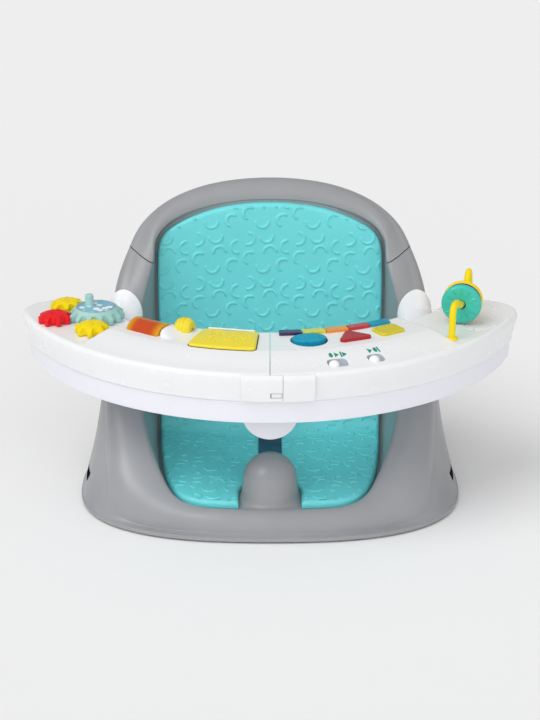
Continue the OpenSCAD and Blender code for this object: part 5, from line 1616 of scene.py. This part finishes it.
@dataclass(frozen=True)
class GearSizes:
    """Sizes of one gear: its teeth, place, heights and top."""

    node: str
    teeth: int
    pitch_r: float
    x: float
    y: float
    turn: float
    low: float
    edge: float
    top: float
    top_r: float
    finish: Finish


@dataclass
class Gears:
    """The drive gear with its disc and peg, and the three small gears round it."""

    form: TrayForm = TrayForm()
    distance: float = 42.5
    drive_teeth: int = 14
    small_teeth: int = 8
    x: float = -178.0
    y: float = 7.0
    tooth_out: float = 2.0
    tooth_in: float = 3.6
    floating: float = 0.6
    drive_edge: float = 5.0
    small_edge: float = 4.5
    small_h: float = 11.0
    crown_h: float = 12.4
    disc_r: float = 20.0
    disc_t: float = 1.4
    ring_r: float = 18.4
    wire_r: float = 0.9
    tooth_steps: int = 20
    tooth_square: float = 2.6
    tooth_lean: float = 0.15
    rib_from: float = 3.0
    rib_to: float = 9.5
    rib_twist: float = 5.5
    rib_r: float = 0.55
    peg: tuple[float, float, float] = (-185.2, 12.4, 4.5)
    peg_round: float = 1.6

    def sizes(self) -> list[GearSizes]:
        """Return the four gears' sizes, with the small gears turned to mesh."""
        step = self.distance / (self.drive_teeth + self.small_teeth)
        low = self.form.ridge_h + self.floating
        found = [GearSizes("drive_gear", self.drive_teeth, step * self.drive_teeth, self.x, self.y,
                           0.0, low, self.drive_edge, self.crown_h, self.disc_r + 1.0, SAGE)]
        for node, towards, finish in (("small_gear_front", -91, YELLOW),
                                      ("small_gear_side", 195, RED),
                                      ("small_gear_rear", 140, YELLOW)):
            turns = towards * self.drive_teeth / 360
            phase = 0.5 + turns - math.floor(turns)
            a = radians(towards)
            found.append(GearSizes(
                node, self.small_teeth, step * self.small_teeth,
                self.x + self.distance * cos(a), self.y + self.distance * sin(a),
                towards + 180 + phase * 360 / self.small_teeth, low, self.small_edge,
                self.small_h, 0.0, finish))
        return found

    def body(self, gear: GearSizes) -> None:
        """Make a gear whose rounded teeth run up into its top."""
        steps = gear.teeth * self.tooth_steps
        angles = np.linspace(0, 2 * np.pi, steps, endpoint=False)
        wave = np.cos(gear.teeth * (angles - radians(gear.turn)))
        square = self.tooth_square
        tooth = np.tanh(square * (wave - self.tooth_lean)) / np.tanh(square)
        middle = gear.pitch_r + (self.tooth_out - self.tooth_in) / 2
        swing = (self.tooth_out + self.tooth_in) / 2
        outline = middle + swing * tooth
        crown = outline.max()
        rows = [(outline * 0.2, 0.0), (outline - 0.5, 0.0), (outline, 0.5), (outline, gear.edge)]
        for t in np.linspace(0.0, 1, 22)[1:]:
            rise = gear.edge + (gear.top - gear.edge) * t
            if gear.top_r:
                limit = crown + 0.6 + (gear.top_r - crown - 0.6) * t**0.85
            else:
                limit = (crown + 0.4) * sqrt(max(0.0, 1 - t**1.7)) + 0.4
            rows.append((np.minimum(outline, limit), rise))
        if gear.top_r:
            rows += [(np.full(steps, gear.top_r - 0.6), gear.top + 0.35),
                     (np.full(steps, self.disc_r + 0.05), gear.top + 0.2),
                     (np.full(steps, self.disc_r + 0.05), gear.top - 1.0),
                     (np.full(steps, 0.5), gear.top - 1.0)]
        points = [
            [gear.x + r[i] * cos(a), gear.y + r[i] * sin(a), gear.low + z]
            for r, z in rows
            for i, a in enumerate(angles)
        ]
        form = np.array(points), closed_grid(len(rows), steps)
        add_piece(gear.node, gear.node + "_body", form, gear.finish, 50.0)

    def ribs(self, gear: GearSizes) -> None:
        """Put curved ribs on a small gear's top, one for each tooth."""
        crown = gear.pitch_r + self.tooth_out + 0.4
        found = []
        for k in range(gear.teeth):
            path = []
            for r in np.linspace(self.rib_from, self.rib_to, 8):
                t = max(0.0, 1 - ((r - 0.4) / crown) ** 2) ** (1 / 1.7)
                twist = self.rib_twist * (self.rib_to - r)
                a = radians(gear.turn + 360 * k / gear.teeth + twist)
                path.append([gear.x + r * cos(a), gear.y + r * sin(a),
                             gear.low + gear.edge + (gear.top - gear.edge) * t])
            found.append(tube(np.array(path), self.rib_r, 8))
        add_piece(gear.node, gear.node + "_ribs", joined(found), gear.finish, 80.0, stands=False)

    def build(self) -> None:
        """Make the gears, the disc with its ring, the ribs on the gears and the peg."""
        for gear in self.sizes():
            self.body(gear)
            if not gear.top_r:
                self.ribs(gear)
        top = self.form.ridge_h + self.floating + self.crown_h
        foot, edge = top - self.disc_t, self.disc_r - 0.2
        plate, sides = lathe([(0.3, foot), (edge, foot), (edge, top), (0.3, top)], 96, closed=True)
        add_piece("gear_disc", "gear_disc_plate", (plate + [self.x, self.y, 0], sides), DISC_PRINT,
                  40.0)
        x, y, r = self.peg
        peg_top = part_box("crank_peg")[1].z / MM
        profile = [(0.2, top - 2), (r + 0.8, top - 2), (r + 0.7, top), (r, top + 0.9)]
        profile += arc(r - 0.2 - self.peg_round, peg_top - self.peg_round, self.peg_round,
                       np.arange(0, 91, 15))
        profile.append((0.2, peg_top + 0.3))
        post, sides = lathe(profile, 48, closed=True)
        add_piece("crank_peg", "crank_peg_post", (post + [x, y, 0], sides), SAGE, 40.0)
        ring = flat_ring(self.x, self.y, top, self.ring_r, self.wire_r, 8, 0.4)
        add_piece("gear_disc", "gear_disc_ring", ring, DISC_RING, 60.0, stands=False)


@dataclass
class Rollers:
    """The amber roller with its hump, the grooved ball and their axles."""

    form: TrayForm = TrayForm()
    half_len: float = 20.1
    hump_len: float = 19.0
    hump_half: float = 13.0
    foot_z: float = 200.4
    cell: float = 0.5

    def hump(self) -> None:
        """Make the white hump that falls from the roller's end to the deck."""
        a = radians(ROLLER_TURN)
        along, across = np.array([cos(a), sin(a)]), np.array([-sin(a), cos(a)])
        start = np.array(ROLLER_PLACE) + along * self.half_len
        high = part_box("roller_drum")[1].z / MM - self.form.platform_h - 0.4

        def depth_of(flat: np.ndarray) -> np.ndarray:
            """Return how far points lie inside the hump's outline."""
            middle = [self.hump_len / 2, 0]
            return box_depth(flat - middle, self.hump_len / 2, self.hump_half, 5.0)

        def place(flat: np.ndarray, z: np.ndarray) -> np.ndarray:
            """Turn the hump's own places into the part's."""
            spot = start + flat[:, :1] * along + flat[:, 1:] * across
            return np.column_stack([spot, z])

        def top(flat: np.ndarray, depth: np.ndarray) -> np.ndarray:
            """Return the hump's face."""
            t = np.clip(flat[:, 0] / self.hump_len, 0, 1)
            fall = (1 - t) ** 1.5
            arch = np.sqrt(np.clip(1 - np.abs(flat[:, 1] / self.hump_half) ** 2.4, 0, 1))
            soft = np.clip(depth / 1.5, 0, 1) ** 0.3
            return place(flat, self.form.platform_h - 0.3 + high * fall * arch * soft)

        form = slab(depth_of, np.arange(-1.0, self.hump_len + 1.1, self.cell),
                    np.arange(-self.hump_half, self.hump_half + 0.1, self.cell),
                    top, lambda flat: place(flat, np.full(len(flat), self.foot_z)))
        add_piece("roller_cheek", "roller_cheek_hump", form, DECK_WHITE, 50.0)

    def build(self) -> None:
        """Make the roller and the ball."""
        cover_node("roller_drum", AMBER, 0.8, 3, merge=False)
        dress_node("roller_core", ORANGE_CORE)
        self.hump()
        cover_node("spinner", FLAP_YELLOW, 0.5, 3, 35.0, merge=False, grow=1.16)
        for node in ("roller_axle", "spinner_axle"):
            dress_node(node, STEEL)


@dataclass
class Flap:
    """The yellow flap with small raised figures on it, over a dark sheet that paints the shade in the
    gap round it.
    """

    form: TrayForm = TrayForm()
    near: float = 183.4
    away: float = 230.0
    first: float = -20.5
    last: float = -3.5
    corner: float = 4.0
    low: float = 200.8
    thickness: float = 3.2
    crown: float = 1.5
    edge_r: float = 1.3
    crown_half: float = 24.0
    half_u: float = 34.0
    half_v: float = 26.0
    cell: float = 0.8
    figure_sizes: tuple = ((3.5, 1.0), (2.7, 1.0), (4.2, 0.55))
    figure_wire: float = 0.9
    columns: int = 5
    rows: int = 3

    def sheet(self, name: str, grow: float, low: float, high: Callable[..., np.ndarray],
              finish: Finish) -> Object:
        """Make a plate on the flap's outline.

        Args:
            name: the plate's name.
            grow: how much wider than the flap it is on each side.
            low: the height of its lower face.
            high: turns places on the flap and their depths into heights.
            finish: its finish.

        Returns:
            The plate.
        """
        middle = (self.near + self.away) / 2
        turn = (self.first + self.last) / 2
        half_u = radians(self.last - self.first) / 2 * middle + grow
        half_v = (self.away - self.near) / 2 + grow

        def place(flat: np.ndarray) -> np.ndarray:
            """Bend the flat plate about the toys' centre."""
            dist = middle - flat[:, 1]
            angle = np.degrees(flat[:, 0] / middle) + turn
            return np.array([self.form.at_toy(d, a) for d, a in zip(dist, angle)])

        form = slab(
            lambda flat: box_depth(flat, half_u, half_v, self.corner + grow),
            np.arange(-self.half_u, self.half_u + 0.1, self.cell),
            np.arange(-self.half_v, self.half_v + 0.1, self.cell),
            lambda flat, depth: np.column_stack([place(flat), high(flat, depth)]),
            lambda flat: level(place(flat), low),
        )
        return new_piece(name, form, finish, 55.0)

    def height(self, flat: np.ndarray, depth: np.ndarray) -> np.ndarray:
        """Return the height of the flap's face: gently crowned, with a rounded edge."""
        crown = self.crown * (1 - (flat[:, 1] / self.crown_half) ** 2)
        return self.low + self.thickness + crown - round_off(depth, self.edge_r)

    def figures(self) -> Object:
        """Make staggered rows of raised rings and ovals on the flap's middle."""
        found = []
        turns = np.linspace(0, 2 * np.pi, 21)
        for row in range(self.rows):
            for column in range(self.columns):
                share = 0.2 + 0.68 * (column + 0.5 + 0.25 * (row % 2 * 2 - 1)) / self.columns
                angle = self.first + (self.last - self.first) * share
                dist = self.near + 6 + 8.8 * (row + 0.5)
                x, y = self.form.at_toy(dist, angle)
                radius, squash = self.figure_sizes[column % len(self.figure_sizes)]
                lean = radians(40 * ((row + column) % 4))
                u, v = radius * np.cos(turns), radius * squash * np.sin(turns)
                offset = (self.near + self.away) / 2 - dist
                z = float(self.height(np.array([[0.0, offset]]), np.array([9.0]))[0]) - 0.4
                path = np.stack([
                    x + u * cos(lean) - v * sin(lean),
                    y + u * sin(lean) + v * cos(lean),
                    np.full(len(turns), z),
                ], axis=1)
                found.append(tube(path, self.figure_wire, 8))
        return new_piece("flap_figures", joined(found), FLAP_YELLOW, 80.0)

    def build(self) -> None:
        """Make the flap, its figures, its pin and the dark sheet under it that paints the shade round
        its edge.
        """
        flap = self.sheet("flap_plate", 0.0, self.low, self.height, FLAP_YELLOW)
        settle(flap, "flap")
        settle(self.figures(), "flap", stands=False)
        dress_node("flap_pin", DECK_WHITE)
        # Painted shade: a dark sheet a little wider than the flap stands for the shadow in the gap
        # round it.
        gap_shade_sheet = self.sheet("flap_well", 0.9, self.form.platform_h - 0.5,
                          lambda flat, depth: np.full(len(flat), self.form.platform_h + 0.15),
                          GAP_SHADE_BROWN)
        settle(gap_shade_sheet, "toy_deck_left", stands=False)


@dataclass
class Sounds:
    """The keys, the buttons and the switches, with what lies under them."""

    form: TrayForm = TrayForm()
    switch_dist: float = 259.0
    switch_angles: tuple[float, float] = (14.6, 23.4)
    sign_back: float = 14.0
    sign_t: float = 0.25
    sign_w: float = 1.7
    sign_d: float = 3.4
    sign_sink: float = 0.3
    knob_r: float = 5.6

    def beside(self, which: int, back: float, across: float) -> tuple[float, float]:
        """Return the place so far behind a switch and so far to its side."""
        a = radians(self.switch_angles[which])
        x, y = self.form.at_rim(self.switch_dist - back, self.switch_angles[which])
        return x + across * cos(a), y + across * sin(a)

    def sign(self, name: str, x: float, y: float, corners: Sequence[Sequence[float]],
             turn: float) -> None:
        """Print one small flat sign on the slope behind a switch."""
        a = radians(turn)
        flat = [[x + p * cos(a) - q * sin(a), y + p * sin(a) + q * cos(a)]
                for p, q in np.array(corners) * [self.sign_w, self.sign_d]]
        z = Deck(1).top_z(np.array(flat))
        low = [[p, q, h - self.sign_sink] for (p, q), h in zip(flat, z)]
        high = [[p, q, h + self.sign_t] for (p, q), h in zip(flat, z)]
        n = len(flat)
        faces = [list(range(n))[::-1], [n + i for i in range(n)]]
        faces += [[i, (i + 1) % n, n + (i + 1) % n, n + i] for i in range(n)]
        form = np.array(low + high), faces
        add_piece("toy_deck_right", name, form, SIGN_GREEN, 30.0, stands=False)

    def signs(self) -> None:
        """Print plain signs: round dots, bars and wedges."""
        round_dot = arc(0.0, 0.0, 1.1, np.linspace(0, 360, 16, endpoint=False))
        wedge = [[-1.2, -1.1], [1.3, 0.0], [-1.2, 1.1]]
        bar = [[-0.45, -1.3], [0.45, -1.3], [0.45, 1.3], [-0.45, 1.3]]
        rows = [
            (0, -3.4, round_dot), (0, 2.4, wedge), (0, 6.8, bar), (0, 10.4, wedge),
            (1, -0.6, wedge), (1, 5.0, round_dot), (1, 8.4, bar),
        ]
        for i, (which, across, corners) in enumerate(rows):
            x, y = self.beside(which, self.sign_back, across)
            self.sign(f"switch_sign_{i}", x, y, corners, self.switch_angles[which])

    def knob(self, node: str, which: int, shift: float) -> None:
        """Make a round-topped knob on its stem."""
        x, y = self.beside(which, 0.0, shift)
        low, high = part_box(node)
        top, foot = high.z / MM, low.z / MM
        r = self.knob_r
        profile = [(0.2, foot), (1.8, foot)]
        profile += arc(0.0, top - r, r, np.arange(-70, 90, 8))
        profile.append((0.2, top))
        points, faces = lathe(profile, 48, closed=True)
        add_piece(node, node + "_knob", (points + [x, y, 0], faces), KNOB_WHITE, 40.0)

    def build(self) -> None:
        """Make the keys, buttons, knobs and signs, and dress what lies under them."""
        for i, colour in enumerate(KEY_COLOURS):
            finish = Finish(f"key_{i + 1}_plastic", colour, 0.22, Texture.HATCHED, coat=0.5)
            cover_node(f"key_{i + 1}", finish, 0.9, 4)
        for shape, finish in (("round", BUTTON_TEAL), ("triangle", BUTTON_RED),
                              ("oblong", BUTTON_YELLOW)):
            cover_node(shape + "_button", finish, 1.2, 5)
        self.knob("power_switch", 0, -4.0)
        self.knob("mode_switch", 1, -2.5)
        self.signs()
        for node, finish in (("keypad", SILICONE), ("circuit_board", BOARD),
                             ("speaker", SPEAKER_BLACK), ("batteries", CELL)):
            dress_node(node, finish)
        cover_node("battery_door", COVER_WHITE, 0.4, 2, merge=False)


@dataclass
class BeadChaser:
    """The bent wire and the three beads that turn on it."""

    form: TrayForm = TrayForm()
    wire_d: float = 6.8
    hole_r: float = 4.6
    collar: tuple = ((3.0, -0.2), (6.5, -0.2), (6.4, 1.0), (5.6, 1.8), (4.2, 2.4), (3.0, 2.6))
    bead_gap: float = 0.6
    # Node, radius, thickness, finish and marks of each bead along the wire.
    beads: tuple = (
        ("front_bead", 20.5, 8.0, BEAD_TEAL, 12), ("middle_bead", 19.7, 3.4, BEAD_PURPLE, 0),
        ("rear_bead", 20.4, 8.0, YELLOW, 8),
    )
    way: tuple = (
        (-44.2, -88.3, -3), (-44.2, -88.3, 7), (-44.2, -88.3, 19), (-44, -87.7, 28),
        (-42.2, -82.8, 33.5), (-38.7, -72.3, 32.5), (-35, -60.3, 26), (-32, -48.8, 23.2),
        (-27.6, -29.8, 23.2), (-24.9, -19.8, 26.5), (-22.9, -12.3, 34), (-21.2, -5.8, 40.5),
        (-19.8, 0.2, 41.5), (-18.8, 4.7, 37), (-18.4, 6.7, 29), (-18.2, 7.2, 17),
        (-18.2, 7.2, 7), (-18.2, 7.2, -3),
    )

    def route(self) -> np.ndarray:
        """Return the points that the wire's middle line passes."""
        return np.array(self.way) + [self.form.lobe_x, self.form.lobe_y, self.form.ridge_h]

    def wire(self) -> None:
        """Make the wire with a low collar round each foot."""
        way = self.route()
        forms = [tube(curve_through(way, 6), self.wire_d / 2, 24)]
        for foot in (way[0], way[-1]):
            collar, faces = hoop(self.collar, 40)
            forms.append((collar + [foot[0], foot[1], self.form.ridge_h], faces))
        add_piece("bead_wire", "bead_wire_tube", joined(forms), YELLOW, 50.0)

    def bead(self, node: str, radius: float, start: float, thick: float, finish: Finish,
             marks: int) -> None:
        """Make one bead with a rounded rim, and raised radial marks on its faces.

        Args:
            node: the bead's node.
            radius: its radius.
            start: where it starts along the wire's level stretch.
            thick: its thickness.
            finish: its finish.
            marks: how many radial marks each face has.
        """
        a, b = self.route()[7:9]
        centre = (a + b) / 2 - [0, 0, self.hole_r - self.wire_d / 2 - 0.2]
        along = (b - a) / np.linalg.norm(b - a)
        side = np.cross(along, [0, 0, 1.0])
        up = np.cross(side, along)
        r = thick * 0.46
        profile = [(self.hole_r, 0.8), (self.hole_r + 0.3, 0.25), (self.hole_r + 1.0, 0.0)]
        profile += [(radius - r + r * sin(t), r - r * cos(t)) for t in np.radians(np.arange(0, 91, 10))]
        profile += arc(radius - r, thick - r, r, np.arange(0, 91, 10))
        profile += [(self.hole_r + 1.0, thick), (self.hole_r + 0.3, thick - 0.25),
                    (self.hole_r, thick - 0.8)]
        forms = [hoop(profile, 72)]
        for k in range(marks):
            turn = 2 * pi * k / marks
            for z, way_out in ((0.0, -1), (thick, 1)):
                path = np.array([[t * cos(turn), t * sin(turn), z + way_out * 0.2]
                                 for t in np.linspace(radius * 0.55, radius - r, 5)])
                forms.append(tube(path + 1e-6, 0.7, 6))
        points, faces = joined(forms)
        placed = (centre + points[:, :1] * side + points[:, 1:2] * up + (points[:, 2:] + start) * along)
        add_piece(node, node + "_ring", (placed, faces), finish, 50.0)

    def build(self) -> None:
        """Make the wire and the beads."""
        self.wire()
        start = -(sum(b[2] for b in self.beads) + self.bead_gap * (len(self.beads) - 1)) / 2
        for node, radius, thick, finish, marks in self.beads:
            self.bead(node, radius, start, thick, finish, marks)
            start += thick + self.bead_gap


# --- studio


@dataclass
class Studio:
    """The floor, the lamps and the camera at the photograph's viewing angle."""

    camera_place: tuple[float, float, float] = (0.0, -1.7738, 0.8309)
    camera_aim: tuple[float, float, float] = (0.0, 0.0, 0.150)
    lens: float = 92.15
    floor_size: float = 12.0
    background: str = "F3F3F3"
    sky: float = 0.52
    sky_in_gloss: float = 0.3
    # Name, strength, spread in degrees and direction of each sun.
    suns: tuple = (("key", 1.25, 40, (-0.65, -0.5, 1.1)), ("front", 0.84, 60, (0.1, -1.0, 0.5)))

    def floor(self) -> None:
        """Lay a plain pale floor that keeps the object's shadow."""
        mesh = bpy.data.meshes.new("floor")
        s = self.floor_size
        mesh.from_pydata([(-s, -s, 0), (s, -s, 0), (s, s, 0), (-s, s, 0)], [], [[0, 1, 2, 3]])
        material = bpy.data.materials.new("floor_pale")
        material.use_nodes = True
        shader = material.node_tree.nodes["Principled BSDF"].inputs
        shader["Base Color"].default_value = linear(self.background)
        shader["Roughness"].default_value = 0.9
        shader["Specular IOR Level"].default_value = 0.0
        mesh.materials.append(material)
        add_object("floor", mesh)

    def lamp(self, light: Light, away: Sequence[float]) -> Object:
        """Put up a lamp that shines from a direction."""
        lamp = add_object(light.name, light)
        away = np.array(away) / np.linalg.norm(away)
        lamp.rotation_euler = (math.acos(away[2]), 0, math.atan2(away[0], -away[1]))
        return lamp

    def sun(self, name: str, energy: float, spread: float, towards: Sequence[float]) -> None:
        """Add a wide, soft sun that shines from a direction."""
        light = bpy.data.lights.new(name, "SUN")
        light.energy = energy
        light.angle = radians(spread)
        self.lamp(light, towards).visible_glossy = False

    def softbox(self, name: str, place: Sequence[float], size: Sequence[float], power: float) -> None:
        """Add a softbox that only shows as a highlight on glossy faces."""
        light = bpy.data.lights.new(name, "AREA")
        light.shape = "RECTANGLE"
        light.size, light.size_y = size
        light.energy = power
        lamp = self.lamp(light, np.array(place) - [0, 0, self.camera_aim[2]])
        lamp.location = place
        lamp.visible_diffuse = False
        lamp.visible_camera = False

    def build(self) -> None:
        """Set the floor, the light and the camera."""
        scene = bpy.context.scene
        self.floor()
        world = bpy.data.worlds.new("studio")
        world.use_nodes = True
        sky = world.node_tree.nodes["Background"].inputs
        sky["Color"].default_value = (1, 1, 1, 1)
        nodes = Nodes(world.node_tree)
        gloss = nodes.node("ShaderNodeLightPath").outputs["Is Glossy Ray"]
        dim = nodes.node("ShaderNodeMapRange", Value=gloss, To_Min=self.sky, To_Max=self.sky_in_gloss)
        nodes.feed(sky["Strength"], dim.outputs["Result"])
        scene.world = world
        for sun in self.suns:
            self.sun(*sun)
        self.softbox("left_box", (-1.3, -1.2, 1.5), (1.0, 0.6), 14.0)
        camera = bpy.data.cameras.new("camera")
        camera.lens = self.lens
        camera.sensor_width = 36
        camera.sensor_fit = "AUTO"
        view = add_object("camera", camera)
        view.location = self.camera_place
        drop = self.camera_place[2] - self.camera_aim[2]
        away = self.camera_aim[1] - self.camera_place[1]
        view.rotation_euler = (pi / 2 - math.atan2(drop, away), 0, 0)
        scene.camera = view
        scene.view_settings.view_transform = "Standard"


def main() -> None:
    """Build the seat, its trays and toys, and the studio round them."""
    logging.basicConfig(level=logging.INFO, format="%(name)s: %(message)s")
    Studio().build()
    SeatShell().build()
    Liner().build()
    Harness().build()
    Trays().build()
    Gears().build()
    Rollers().build()
    Flap().build()
    Sounds().build()
    BeadChaser().build()


if __name__ == "__main__":
    main()
